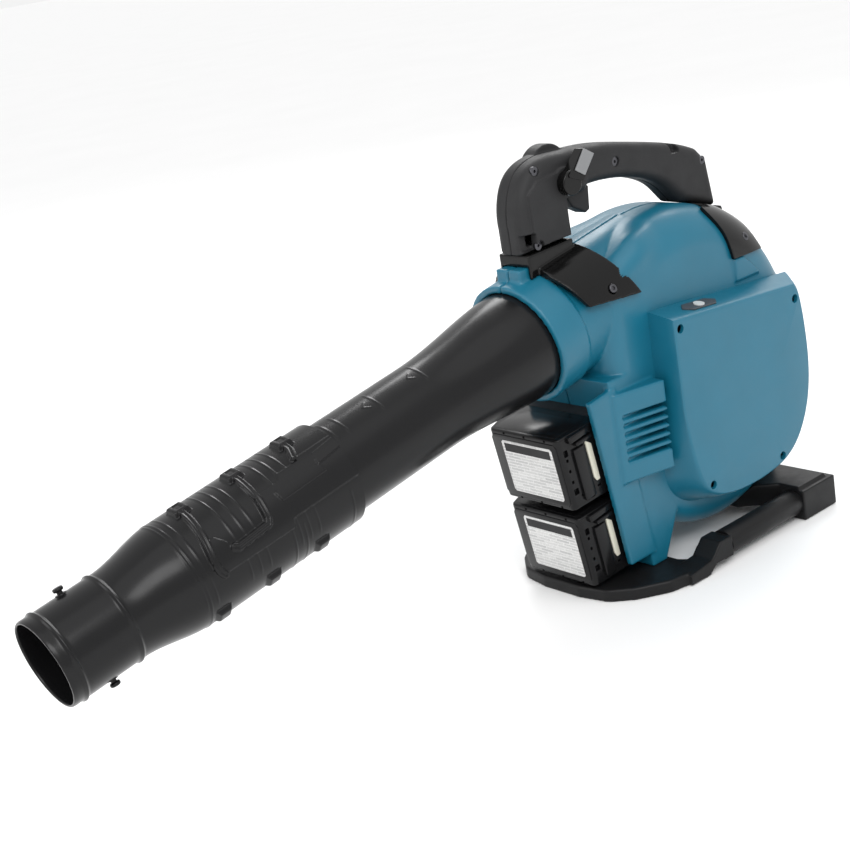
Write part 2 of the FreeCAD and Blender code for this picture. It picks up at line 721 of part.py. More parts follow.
def make_motor():
    shaft = turned_about_fan("rotor_shaft", band("-81.8", "24", "0", "dims.shaft_radius"))
    node(shaft)
    node(turned_about_fan("rotor_core", band("-74", "-50", "dims.shaft_radius", "dims.rotor_radius")))
    gap = "dims.rotor_radius + dims.air_gap"
    node(turned_about_fan("stator", band("-73", "-51", gap, "dims.stator_radius")))
    for name, low, high in (("rear_bearing", "-82", "-76"), ("front_bearing", "-46", "-39")):
        node(turned_about_fan(name, band(low, high, "dims.shaft_radius + 0.05", "dims.bearing_radius")))
    frame = turned_about_fan("motor_frame", [
        ("-83.5", "0"),
        ("-83.5", "dims.stator_radius + 4"),
        ("-45", "dims.stator_radius + 4"),
        ("-45", "50"),
        ("-53.5", "50"),
        ("-53.5", "86"),
        ("-50", "86"),
        ("-50", "54"),
        ("-39", "54"),
        ("-39", "dims.bearing_radius"),
        ("-47", "dims.bearing_radius"),
        ("-47", "dims.stator_radius"),
        ("-75", "dims.stator_radius"),
        ("-75", "dims.bearing_radius"),
        ("-82.2", "dims.bearing_radius"),
        ("-82.2", "0"),
    ])
    node(frame)
    fan = turned_about_fan("impeller_disc", [
        ("-34", "dims.shaft_radius"),
        ("-34", "dims.fan_radius"),
        ("-31.5", "dims.fan_radius"),
        ("-31.5", "26"),
        ("-14", "12"),
        ("12", "10"),
        ("12", "dims.shaft_radius"),
    ])
    place(fan)
    blades = []
    count = int(size["fan_blades"])
    for number in range(count):
        blades.append(fan_blade(360.0 * number / count))
    rim = Part.makeCylinder(size["fan_radius"], 2, Vector(0, 12, 0), Vector(0, 1, 0))
    rim = rim.cut(Part.makeCylinder(66, 4, Vector(0, 11, 0), Vector(0, 1, 0)))
    doc.recompute()
    wheel = fan.Shape.multiFuse(blades + [rim])
    node(shaped("impeller", wheel, Placement(Vector(size["fan_x"], 0, size["fan_z"]), Rotation())))
    nut = doc.addObject("Part::Prism", "impeller_nut")
    nut.Polygon = 6
    bind(nut, Circumradius="9", Height="7")
    nut.Placement = Placement(Vector(size["fan_x"], 12.1, size["fan_z"]), TOWARD_RIGHT)
    bore = primitive("Cylinder", "nut_bore", Radius="dims.shaft_radius", Height="20")
    bore.Placement = Placement(Vector(size["fan_x"], 6, size["fan_z"]), TOWARD_RIGHT)
    node(boolean("Cut", "fan_nut", nut, bore))
    board = doc.addObject("Part::Box", "controller")
    bind(board, Length="10", Width="76", Height="27")
    board.Placement = Placement(Vector(21.2, -38, 17.5), Rotation())
    node(board)


def fan_blade(angle):
    """A backward-curved blade between two arcs, seen along the fan axis."""
    outer = size["fan_radius"]
    start = Vector(34, -32.5, 0)
    end = Vector(outer * math.cos(-0.7), -32.5, outer * math.sin(-0.7))
    middle = Vector(72, -32.5, -20)
    side = Vector(0.6, 0, 1.1)
    near = Part.Arc(start, middle, end)
    far = Part.Arc(end + side, middle + side, start + side)
    edges = [
        near.toShape(),
        Part.LineSegment(end, end + side).toShape(),
        far.toShape(),
        Part.LineSegment(start + side, start).toShape(),
    ]
    blade = Part.Face(Part.Wire(edges)).extrude(Vector(0, size["fan_width"], 0))
    limit = Part.makeCylinder(outer, 90, Vector(0, -45, 0), Vector(0, 1, 0))
    blade = blade.common(limit)
    blade.rotate(Vector(0, 0, 0), Vector(0, 1, 0), angle)
    return blade


# ---------------------------------------------------------------- inlet grille


def make_inlet():
    start = size["housing_half"] + size["grille_gap"]
    end = size["housing_half"] + size["grille_depth"]
    fan_x = size["fan_x"]
    fan_z = size["fan_z"]
    radius = size["grille_radius"]
    wall = size["grille_wall"]
    drum = rod(radius, (fan_x, start, fan_z), (fan_x, end, fan_z))
    drum = rounded(drum, 12, lambda e: e.CenterOfMass.y > end - 1)
    hollow = rod(radius - wall, (fan_x, start - 1, fan_z), (fan_x, end - wall, fan_z))
    hollow = rounded(hollow, 10, lambda e: e.CenterOfMass.y > end - wall - 1)
    slots = []
    for number in range(-6, 7):
        level = fan_z + 11.0 * number
        reach = math.sqrt((radius - 16) ** 2 - (11.0 * number) ** 2)
        slots.append(box((fan_x - reach, end - wall - 4, level - 3), (fan_x - 3, end + 2, level + 3)))
        slots.append(box((fan_x + 3, end - wall - 4, level - 3), (fan_x + reach, end + 2, level + 3)))
    cover = drum.cut(hollow).cut(slots)
    hinge_x = size["hinge_x"]
    hinge_y = size["hinge_y"]
    knuckle_low = fan_z - 17.5
    knuckle_high = fan_z + 17.5
    knuckle = rod(5, (hinge_x, hinge_y, knuckle_low), (hinge_x, hinge_y, knuckle_high))
    leaf = box((fan_x + radius - 6, hinge_y - 2.5, knuckle_low), (hinge_x, hinge_y + 2.5, knuckle_high))
    leaf = leaf.cut(rod(radius - wall, (fan_x, start - 1, fan_z), (fan_x, end, fan_z)))
    bore = rod(size["hinge_radius"] + 0.05, (hinge_x, hinge_y, fan_z - 40), (hinge_x, hinge_y, fan_z + 40))
    cover = cover.multiFuse([knuckle, leaf]).cut(bore)
    seat_x = fan_x - radius + 17
    cover = cover.cut(rod(4.06, (seat_x, start, fan_z), (seat_x, end + 2, fan_z)))
    cover = cover.fuse(rod(9, (seat_x, end - wall - 4, fan_z), (seat_x, end - wall, fan_z)).cut(
        rod(4.06, (seat_x, start, fan_z), (seat_x, end + 2, fan_z))))
    node(shaped("inlet_grille", cover))
    pin = doc.addObject("Part::Cylinder", "inlet_hinge_pin")
    bind(pin, Radius="dims.hinge_radius", Height="62",
         Placement__Base__x="dims.hinge_x", Placement__Base__y="dims.hinge_y",
         Placement__Base__z="dims.fan_z - 31")
    node(pin)
    knob = rod(4, (seat_x, end - wall - 9, fan_z), (seat_x, end + 0.4, fan_z))
    knob = knob.fuse(rod(10, (seat_x, end + 0.4, fan_z), (seat_x, end + 4, fan_z)))
    knob = knob.fuse(box((seat_x - 2, end + 3, fan_z - 9), (seat_x + 2, end + 8, fan_z + 9)))
    node(shaped("inlet_lock_knob", knob))
    mouth = body("inlet_mouth")
    sketch = sketch_on(mouth, "XY_Plane")
    outline(sketch, [
        ("dims.inlet_radius - 6", "18"),
        ("dims.inlet_radius - 3", "dims.housing_half + 1.5"),
        ("dims.inlet_radius + 8", "dims.housing_half + 1.5"),
        ("dims.inlet_radius + 8", "dims.housing_half + 0.1"),
        ("dims.inlet_radius - 0.3", "dims.housing_half + 0.1"),
        ("dims.inlet_radius - 4", "18"),
    ])
    revolve(mouth, sketch, "V_Axis")
    place(mouth, x="dims.fan_x", z="dims.fan_z")
    node(mouth)


# ---------------------------------------------------------------- handle


def spline(points, low):
    curve = Part.BSplineCurve()
    curve.interpolate([Vector(x, low, z) for x, z in points])
    return curve.toShape()


def straight(start, end, low):
    return Part.LineSegment(Vector(start[0], low, start[1]), Vector(end[0], low, end[1])).toShape()


def handle_block():
    """The handle before it is split: grip, tower and rear leg."""
    front = size["tower_front"]
    rear = size["tower_rear"]
    bottom = size["tower_bottom"]
    top = size["handle_top"]
    leg = size["leg_bottom"]
    crown = [
        (front, bottom + 22),
        (front + 4, bottom + 50),
        (front + 15, top - 7),
        (front + 38, top + 3),
        (front + 70, top + 2.5),
        (58, top),
        (96, top - 6.5),
        (135, top - 15.5),
        (167, top - 24.5),
        (188, top - 33),
    ]
    belly = [
        (159, leg + 13.6),
        (153, top - 71),
        (140, top - 58),
        (122, top - 47.5),
        (100, top - 40),
        (75, top - 35),
        (50, top - 33),
    ]
    low = -size["handle_half"]
    edges = [
        straight((front, bottom), crown[0], low),
        spline(crown, low),
        straight(crown[-1], (200, top - 45), low),
        straight((200, top - 45), (207, leg - 0.9), low),
        straight((207, leg - 0.9), belly[0], low),
        spline(belly, low),
        straight(belly[-1], (42, top - 33), low),
        straight((42, top - 33), (36, top - 38), low),
        straight((36, top - 38), (12, top - 38), low),
        straight((12, top - 38), (rear, top - 44), low),
        straight((rear, top - 44), (rear, bottom + 2), low),
        straight((rear, bottom + 2), (front, bottom), low),
    ]
    side = Part.Face(Part.Wire(edges))
    block = side.extrude(Vector(0, 2 * size["handle_half"], 0))

    block = rounded(block, size["handle_round"], lambda e: e.BoundBox.YLength < 1e-6)
    boss_x = size["lever_x"]
    boss_z = size["lever_z"]
    dome = rod(23, (boss_x + 3, 1, boss_z + 10), (boss_x + 3, size["handle_half"], boss_z + 10))
    dome = rounded(dome, 5, lambda e: e.CenterOfMass.y > 10)
    near_boss = rod(13.5, (boss_x, -size["tower_half"], boss_z), (boss_x, 0, boss_z))
    tower = prism([
        (front + 12, bottom + 4),
        (front + 12, bottom + 50),
        (front + 24, top - 14),
        (rear - 2, top - 12),
        (rear - 2, bottom + 5),
    ], -size["tower_half"], size["tower_half"])
    return block.multiFuse([dome, near_boss, tower])


def make_handle():
    top = size["handle_top"]
    front = size["tower_front"]
    bottom = size["tower_bottom"]
    block = handle_block()
    grip_room = prism([
        (68, top - 9), (130, top - 22), (183, top - 40), (194, top - 52), (199, top - 84),
        (168, top - 80), (148, top - 56), (122, top - 39), (100, top - 31), (68, top - 27),
    ], -12, 12)
    tower_room = box((front + 9, -12, bottom + 6), (4, 12, top - 18))
    trigger_room = box((12, -9.4, top - 60), (62, 9.4, top - 10))
    notch = box((149, -25, top - 30), (162, -8, top))
    slot = box((front - 3, -25, bottom + 3), (front + 14, -11, bottom + 17))
    room = grip_room.multiFuse([tower_room, trigger_room])
    block = block.cut([room, notch, slot])
    lever_bore = rod(4.05, (size["lever_x"], -25, size["lever_z"]), (size["lever_x"], -10, size["lever_z"]))
    pin_bore = rod(2.0, (20, -16, top - 22), (20, 16, top - 22))
    block = block.cut([lever_bore, pin_bore])
    for x, z in HANDLE_SCREWS:
        block = block.cut(rod(size["screw_head"] + 0.3, (x, -25, z), (x, -13.5, z)))
        block = block.cut(rod(size["screw_radius"] + 0.2, (x, -25, z), (x, 12, z)))
    gap = size["seam_gap"] / 2
    reach = 500
    node(shaped("handle_left", block.common(box((-reach, -reach, 0), (reach, -gap, 2 * reach)))))
    node(shaped("handle_right", block.common(box((-reach, gap, 0), (reach, reach, 2 * reach)))))


HANDLE_SCREWS = [(-22, 390), (-30, 327), (76, 376), (192, 351)]


def make_controls():
    top = size["handle_top"]
    pivot = (20, top - 22)
    trigger = body("trigger")
    face = sketch_on(trigger, "XZ_Plane")
    outline(face, [
        ("16", "dims.handle_top - 18"),
        ("24", "dims.handle_top - 18"),
        ("48", "dims.handle_top - 36"),
        ("46", "dims.handle_top - 56"),
        ("41", "dims.handle_top - 58"),
        ("25", "dims.handle_top - 49"),
        ("16", "dims.handle_top - 34"),
    ])
    ring(face, "20", "dims.handle_top - 22", "2.05")
    pad(trigger, face, "2 * dims.trigger_half", both_ways=True)
    soften(trigger, "Fillet", "2", lambda e: e.BoundBox.YLength < 1e-6 and e.CenterOfMass.z < top - 40)
    node(trigger)
    pin = doc.addObject("Part::Cylinder", "trigger_pin")
    bind(pin, Radius="2.0", Height="30")
    pin.Placement = Placement(Vector(pivot[0], 15, pivot[1]), TOWARD_LEFT)
    node(pin)
    switch = doc.addObject("Part::Box", "trigger_switch")
    bind(switch, Length="12.5", Width="16", Height="12")
    switch.Placement = Placement(Vector(49.5, -8, top - 26), Rotation())
    node(switch)
    hub_x = size["lever_x"]
    hub_z = size["lever_z"]
    half = size["tower_half"]
    hub = rod(size["lever_radius"], (hub_x, -half - 9, hub_z), (hub_x, -half - 0.4, hub_z))
    arm = prism([(hub_x - 6, hub_z + 6), (hub_x + 12, hub_z - 1), (hub_x + 28, hub_z + 19),
                 (hub_x + 16, hub_z + 27)], -half - 10, -half - 0.6)
    stub = rod(4, (hub_x, -half - 3, hub_z), (hub_x, -15, hub_z))
    hub = rounded(hub, 1.2, lambda e: e.CenterOfMass.y < -half - 8.9)
    arm = rounded(arm, 2.0, lambda e: e.BoundBox.YLength > 5)
    node(shaped("cruise_lever", hub.multiFuse([arm, stub])))
    tip = prism([(hub_x + 13.4, hub_z + 3.6), (hub_x + 27.4, hub_z + 19.4), (hub_x + 16, hub_z + 26.4),
                 (hub_x + 2.4, hub_z + 10.4)], -half - 11.5, -half - 10)
    node(shaped("lever_tip", tip))


# ---------------------------------------------------------------- saddles


SADDLE_SCREWS = [(10, 280, 56.5), (196, 277, 59.6)]
SADDLE_SCREW_LENGTH = 10.0


def saddle_screw_holes(radius, start, end):
    """Rods round the saddle screws; start and end are counted outward from each seat."""
    rods = []
    for x, z, seat in SADDLE_SCREWS:
        for side in (-1, 1):
            rods.append(rod(radius, (x, side * (seat + start), z), (x, side * (seat + end), z)))
    return rods


def make_saddles():
    bottom = size["tower_bottom"]
    half = size["tower_half"]
    ring_band = duct(size["duct_radius"] + 9, 0, 125).cut(duct(size["duct_radius"] + 3, -10, 140))
    window = prism([(-36, 340), (12, 340), (12, 320), (42, 268), (-20, 272), (-36, 300)], -80, 80)
    front = ring_band.common(window)
    pedestal = prism([(-46, 296), (-46, bottom - 0.3), (9, bottom + 1.7), (9, 296)], -half + 1, half - 1)
    pedestal = pedestal.cut(duct(size["duct_radius"] + 3, -20, 140))
    front = front.fuse(pedestal).cut(scroll(-SEAT_GAP)).cut(box((-70, -16, 280), (-27.5, 16, 311.4)))
    holes = saddle_screw_holes(size["screw_radius"] + 0.2, -20, 20)
    holes += saddle_screw_holes(size["screw_head"] + 0.3, 0, 20)
    node(shaped("front_saddle", front.cut(holes)))
    leg = size["leg_bottom"]
    block = prism([(156, leg + 14.0), (210, leg - 2.2), (220, 262.5), (170, 262.5)],
                  -size["housing_half"] - 4, size["housing_half"] + 4)
    block = rounded(block, 16, lambda e: e.BoundBox.YLength < 1e-6 and e.CenterOfMass.z > leg)
    rear = block.cut(scroll(-SEAT_GAP))
    rear = max(rear.Solids, key=lambda s: s.Volume)
    node(shaped("rear_saddle", rear.cut(holes)))


# ---------------------------------------------------------------- batteries


def make_pack(number, name):
    tilt = size["bay_tilt"]
    middle = (size["pack_width"] / 2) - size["pack_drop"]
    near = size["pack_near"]
    half = size["pack_width"] / 2
    left = size["pack_left"]
    right = size["pack_right"]
    depth = size["pack_depth"]
    corners = [(0, -near), (depth, -left), (depth, right), (0, near)]
    points = [Vector(x, y, middle - half) for x, y in corners]
    case = Part.Face(Part.makePolygon(points + points[:1])).extrude(Vector(0, 0, 2 * half))
    case = rounded(case, 5, lambda e: e.CenterOfMass.x < depth - 2 and abs(e.CenterOfMass.z - middle) < half - 1)
    case = rounded(case, 2.5, lambda e: e.BoundBox.ZLength < 1e-6 and e.CenterOfMass.x < depth - 1)
    stem = size["rail_stem"]
    head = size["rail_head"]
    step = size["rail_step"]
    height = size["rail_height"]
    rail = box((depth - 1, -left + 2, middle - stem), (depth + step, right - 16, middle + stem))
    flange = box((depth + step, -left + 2, middle - head), (depth + height, right - 16, middle + head))
    recess = box((depth - 30, right - 13, middle - 16), (depth + 1, right + 5, middle + 16))
    strip = box((depth - 21.5, -left + 1.4, middle - 20), (depth - 14, -left + 5, middle + 16))
    case = case.multiFuse([rail, flange]).cut([recess, strip])
    moved = Placement()
    pitch = size["pack_pitch"] * number
    lean = math.radians(tilt)
    moved.Base = Vector(size["bay_x"] + pitch * math.sin(lean), 0, size["bay_z"] - pitch * math.cos(lean))
    moved.Rotation = Rotation(Vector(0, 1, 0), -tilt)
    node(shaped(name + "_pack", case, moved))
    button = box((depth - 24, right - 12.5, middle - 15.5), (depth - 1, right - 0.5, middle + 15.5))
    button = rounded(button, 2, lambda e: e.CenterOfMass.y > right - 2)
    node(shaped(name + "_release_button", button, moved))
    label = doc.addObject("Part::Box", name + "_label")
    bind(label, Length="0.4", Width="64", Height="54")
    place_offset = moved.Rotation.multVec(Vector(-0.4, -34, middle - 27))
    label.Placement = Placement(moved.Base + place_offset, moved.Rotation)
    node(label)
    node(shaped(name + "_strip", strip, moved))
    guide = body(name + "_rail_guide")
    profile = sketch_on(guide, "XZ_Plane", "dims.pack_left")
    centre = "(dims.pack_width / 2 - dims.pack_drop)"
    outline(profile, [
        ("dims.pack_depth + 1", centre + " + dims.rail_stem + 0.5"),
        ("dims.pack_depth + dims.rail_step - 0.5", centre + " + dims.rail_stem + 0.5"),
        ("dims.pack_depth + dims.rail_step - 0.5", centre + " + dims.rail_head + 0.5"),
        ("dims.pack_depth + dims.rail_height + 0.5", centre + " + dims.rail_head + 0.5"),
        ("dims.pack_depth + dims.rail_height + 0.5", centre + " - dims.rail_head - 0.5"),
        ("dims.pack_depth + dims.rail_step - 0.5", centre + " - dims.rail_head - 0.5"),
        ("dims.pack_depth + dims.rail_step - 0.5", centre + " - dims.rail_stem - 0.5"),
        ("dims.pack_depth + 1", centre + " - dims.rail_stem - 0.5"),
        ("dims.pack_depth + 1", centre + " - dims.rail_head - 8"),
        ("dims.bay_depth", centre + " - dims.rail_head - 8"),
        ("dims.bay_depth", centre + " + dims.rail_head + 8"),
        ("dims.pack_depth + 1", centre + " + dims.rail_head + 8"),
    ])
    pad(guide, profile, "dims.pack_left + dims.housing_half", reverse=True)
    on_bay(guide, number)
    node(guide)


# ---------------------------------------------------------------- base


def make_base():
    plate = body("base_plate")
    face = sketch_on(plate, "XY_Plane")
    right_side = [
        ("dims.plate_front", "22"),
        ("dims.plate_front + 6", "dims.base_half - 47"),
        ("dims.plate_front + 23", "dims.base_half - 27"),
        ("dims.plate_front + 51", "dims.base_half - 9"),
        ("dims.plate_rear - 5", "dims.base_half - 1"),
        ("dims.plate_rear + 2", "dims.base_half - 2"),
        ("dims.plate_rear + 2", "dims.base_half - 24"),
        ("dims.plate_rear - 4", "dims.base_half - 36"),
    ]
    left_side = [(x, "-(%s)" % y) for x, y in reversed(right_side)]
    outline(face, right_side + left_side)
    pad(plate, face, "dims.plate_thick")
    soften(plate, "Fillet", "14", lambda e: along(e, Vector(0, 0, 1)) and e.CenterOfMass.x < 20)
    soften(plate, "Fillet", "2.5", lambda e: e.BoundBox.ZLength < 1e-6 and e.CenterOfMass.z > 1)
    arms = []
    for name, start in (("left_arm", "-dims.base_half + 1"), ("right_arm", "dims.base_half - 25")):
        arm = body(name)
        side = sketch_on(arm, "XZ_Plane")
        outline(side, [
            ("dims.plate_rear - 26", "1"),
            ("dims.plate_rear", "1"),
            ("dims.plate_rear + 10", "dims.bar_z - 9"),
            ("dims.bar_front + 4", "dims.bar_z - 10"),
            ("dims.bar_front + 4", "dims.bar_z + 10"),
            ("dims.bar_front - 12", "dims.bar_z + 10"),
            ("dims.plate_rear + 4", "dims.plate_thick + 2"),
            ("dims.plate_rear - 26", "dims.plate_thick - 1"),
        ])
        pad(arm, side, "24", reverse=True)
        place(arm, y=start)
        arms.append(arm)
    node(joined("front_base", [plate] + arms))
    for name, sign in (("left_bar", "-"), ("right_bar", "")):
        bar = doc.addObject("Part::Cylinder", name)
        bar.Placement = Placement(Vector(0, 0, 0), ALONG_DUCT)
        bind(bar, Radius="dims.bar_radius", Height="dims.bar_rear - dims.bar_front - 4",
             Placement__Base__x="dims.bar_front + 4", Placement__Base__y=sign + "dims.bar_y",
             Placement__Base__z="dims.bar_z")
        node(bar)
    foot = body("rear_foot_beam")
    beam = sketch_on(foot, "XY_Plane", "dims.plate_thick")
    outline(beam, [
        ("dims.bar_rear", "-dims.base_half + 4"),
        ("dims.foot_rear - 8", "-dims.base_half + 4"),
        ("dims.foot_rear - 8", "dims.base_half - 4"),
        ("dims.bar_rear", "dims.base_half - 4"),
        ("dims.bar_rear", "dims.base_half - 26"),
        ("dims.bar_rear - 26", "40"),
        ("dims.bar_rear - 26", "-40"),
        ("dims.bar_rear", "-dims.base_half + 26"),
    ])
    pad(foot, beam, "dims.foot_top - dims.plate_thick")
    ends = []
    for name, start in (("left_foot", "-dims.base_half - 1"), ("right_foot", "dims.base_half - 27")):
        end = doc.addObject("Part::Box", name)
        bind(end, Length="dims.foot_rear - dims.bar_rear", Width="28", Height="dims.foot_top - 4",
             Placement__Base__x="dims.bar_rear", Placement__Base__y=start)
        ends.append(end)
    beam_and_ends = joined("rear_foot_solid", [foot] + ends)
    clearance = shaped("rear_foot_clearance", scroll(-SEAT_GAP))
    node(boolean("Cut", "rear_foot", beam_and_ends, clearance))


# ---------------------------------------------------------------- fasteners


def screw(start, direction, length):
    """A pan-head screw whose head's underside is at start."""
    direction = Vector(*direction)
    start = Vector(*start)
    head = Part.makeCylinder(size["screw_head"], size["screw_head_height"], start, -direction)
    recess = Part.makeCylinder(1.4, 1.6, start - direction * size["screw_head_height"], direction)
    shank = Part.makeCylinder(size["screw_radius"], length, start, direction)
    return head.fuse(shank).cut(recess)


def make_screws():
    half = size["housing_half"]
    cover_seat = -half - 22
    cover = [screw((x, cover_seat, z), (0, 1, 0), 21.5) for x, z in COVER_SCREWS]
    node(shaped("motor_cover_screws", Part.makeCompound(cover)))
    handle = [screw((x, -13.5, z), (0, 1, 0), 24) for x, z in HANDLE_SCREWS]
    node(shaped("handle_screws", Part.makeCompound(handle)))
    saddles = []
    for x, z, seat in SADDLE_SCREWS:
        for side in (-1, 1):
            saddles.append(screw((x, side * seat, z), (0, -side, 0), SADDLE_SCREW_LENGTH))
    node(shaped("saddle_screws", Part.makeCompound(saddles)))


# ---------------------------------------------------------------- assembly

make_rear_pipe()
make_front_nozzle()
make_housing()
make_motor_cover()
make_power_switch()
make_motor()
make_inlet()
make_handle()
make_controls()
make_saddles()
make_pack(0, "upper")
make_pack(1, "lower")
make_base()
make_screws()

doc.recompute()
for item in doc.Objects:
    if "Invalid" in item.State or "Error" in item.State:
        raise RuntimeError("%s did not recompute: %s" % (item.Name, item.State))
for item in nodes:
    if item.Shape.isNull() or not item.Shape.isValid():
        raise RuntimeError("%s has no valid shape" % item.Label)

for item in nodes:
    item.Shape.exportStep("parts/%s.step" % item.Label)
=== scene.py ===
import json
import math

import bmesh
import bpy
import numpy as np
from mathutils import Matrix, Vector


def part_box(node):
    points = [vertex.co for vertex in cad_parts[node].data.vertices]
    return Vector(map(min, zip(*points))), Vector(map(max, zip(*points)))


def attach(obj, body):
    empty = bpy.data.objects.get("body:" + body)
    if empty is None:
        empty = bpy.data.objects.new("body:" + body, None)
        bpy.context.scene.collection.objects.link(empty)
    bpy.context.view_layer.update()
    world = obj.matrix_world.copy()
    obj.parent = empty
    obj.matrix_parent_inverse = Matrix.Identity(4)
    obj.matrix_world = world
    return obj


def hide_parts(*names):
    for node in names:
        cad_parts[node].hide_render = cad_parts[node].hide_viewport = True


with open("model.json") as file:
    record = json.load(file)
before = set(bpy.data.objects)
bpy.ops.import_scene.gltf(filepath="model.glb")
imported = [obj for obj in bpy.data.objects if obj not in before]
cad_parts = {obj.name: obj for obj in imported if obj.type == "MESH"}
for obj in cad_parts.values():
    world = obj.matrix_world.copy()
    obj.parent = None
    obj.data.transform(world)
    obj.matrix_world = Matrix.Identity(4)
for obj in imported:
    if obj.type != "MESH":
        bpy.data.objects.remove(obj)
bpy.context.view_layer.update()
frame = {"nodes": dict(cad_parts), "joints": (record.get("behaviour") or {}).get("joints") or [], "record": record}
RECORD = frame["record"]
JOINTS = {joint["name"]: joint for joint in frame["joints"]}
MOUNTS = {mount["name"]: mount for mount in RECORD["mounts"]}
NODE_BODY = {node: name for name, members in RECORD["behaviour"]["bodies"].items() for node in members}
MM = 0.001
WELD_REACH = 2e-6

# ---------------------------------------------------------------- frames of reference

BACK = Vector(JOINTS["nozzle_slide"]["axis"]).normalized()
RIGHT = Vector((0, 1, 0))
UP_DUCT = BACK.cross(RIGHT).normalized()
if UP_DUCT.z < 0:
    UP_DUCT = -UP_DUCT
BORE_DEPTH = 0.4709
ROOT = Vector(MOUNTS["nozzle_bore"]["pos_m"]) + BACK * BORE_DEPTH
FAN = Vector(JOINTS["impeller_spin"]["pos_m"])


def on_duct(forward, radius, degrees):
    """A point (mm in front of the duct's root, mm radius, degrees from the right side over the top)."""
    turn = math.radians(degrees)
    around = RIGHT * math.cos(turn) + UP_DUCT * math.sin(turn)
    return ROOT - BACK * forward * MM + around * radius * MM


# ---------------------------------------------------------------- materials


def new_material(name):
    material = bpy.data.materials.new(name)
    material.use_nodes = True
    tree = material.node_tree
    return material, tree, tree.nodes["Principled BSDF"]


def noise(tree, coordinates, scale, detail=3.0, rough=0.55):
    node = tree.nodes.new("ShaderNodeTexNoise")
    node.inputs["Scale"].default_value = scale
    node.inputs["Detail"].default_value = detail
    node.inputs["Roughness"].default_value = rough
    tree.links.new(coordinates, node.inputs["Vector"])
    return node.outputs["Fac"]


def spread(tree, value, low, high, start=0.35, end=0.65):
    node = tree.nodes.new("ShaderNodeMapRange")
    for socket, number in (("From Min", start), ("From Max", end), ("To Min", low), ("To Max", high)):
        node.inputs[socket].default_value = number
    tree.links.new(value, node.inputs["Value"])
    return node.outputs["Result"]


def plastic(name, color, rough, grain=900.0, depth=0.04, drift=0.10, wear=0.06, coat=0.0, shine=0.5):
    """Moulded plastic: a fine spark-eroded grain, and slow changes of colour and gloss."""
    material, tree, shader = new_material(name)
    coordinates = tree.nodes.new("ShaderNodeTexCoord").outputs["Object"]
    broad = noise(tree, coordinates, 22.0, 4.0)
    ramp = tree.nodes.new("ShaderNodeValToRGB")
    ramp.color_ramp.elements[0].position = 0.30
    ramp.color_ramp.elements[1].position = 0.70
    ramp.color_ramp.elements[0].color = [c * (1 - drift) for c in color] + [1]
    ramp.color_ramp.elements[1].color = [min(1, c * (1 + drift)) for c in color] + [1]
    tree.links.new(broad, ramp.inputs["Fac"])
    tree.links.new(ramp.outputs["Color"], shader.inputs["Base Color"])
    patches = noise(tree, coordinates, 60.0, 5.0)
    tree.links.new(spread(tree, patches, rough - wear, rough + wear), shader.inputs["Roughness"])
    fine = noise(tree, coordinates, grain, 2.0)
    bump = tree.nodes.new("ShaderNodeBump")
    bump.inputs["Strength"].default_value = depth
    bump.inputs["Distance"].default_value = 0.0004
    tree.links.new(fine, bump.inputs["Height"])
    tree.links.new(bump.outputs["Normal"], shader.inputs["Normal"])
    shader.inputs["Specular IOR Level"].default_value = shine
    shader.inputs["Coat Weight"].default_value = coat
    shader.inputs["Coat Roughness"].default_value = 0.12
    return material


def metal(name, color, rough, drift=0.12):
    """Turned or brushed metal with fine drawn-out scratches."""
    material, tree, shader = new_material(name)
    coordinates = tree.nodes.new("ShaderNodeTexCoord").outputs["Object"]
    mapping = tree.nodes.new("ShaderNodeMapping")
    mapping.inputs["Scale"].default_value = (1.0, 1.0, 30.0)
    tree.links.new(coordinates, mapping.inputs["Vector"])
    lines = noise(tree, mapping.outputs["Vector"], 260.0, 3.0)
    ramp = tree.nodes.new("ShaderNodeValToRGB")
    ramp.color_ramp.elements[0].color = [c * (1 - drift) for c in color] + [1]
    ramp.color_ramp.elements[1].color = [min(1, c * (1 + drift)) for c in color] + [1]
    tree.links.new(lines, ramp.inputs["Fac"])
    tree.links.new(ramp.outputs["Color"], shader.inputs["Base Color"])
    tree.links.new(spread(tree, lines, rough - 0.08, rough + 0.08), shader.inputs["Roughness"])
    bump = tree.nodes.new("ShaderNodeBump")
    bump.inputs["Strength"].default_value = 0.08
    bump.inputs["Distance"].default_value = 0.0002
    tree.links.new(lines, bump.inputs["Height"])
    tree.links.new(bump.outputs["Normal"], shader.inputs["Normal"])
    shader.inputs["Metallic"].default_value = 1.0
    return material


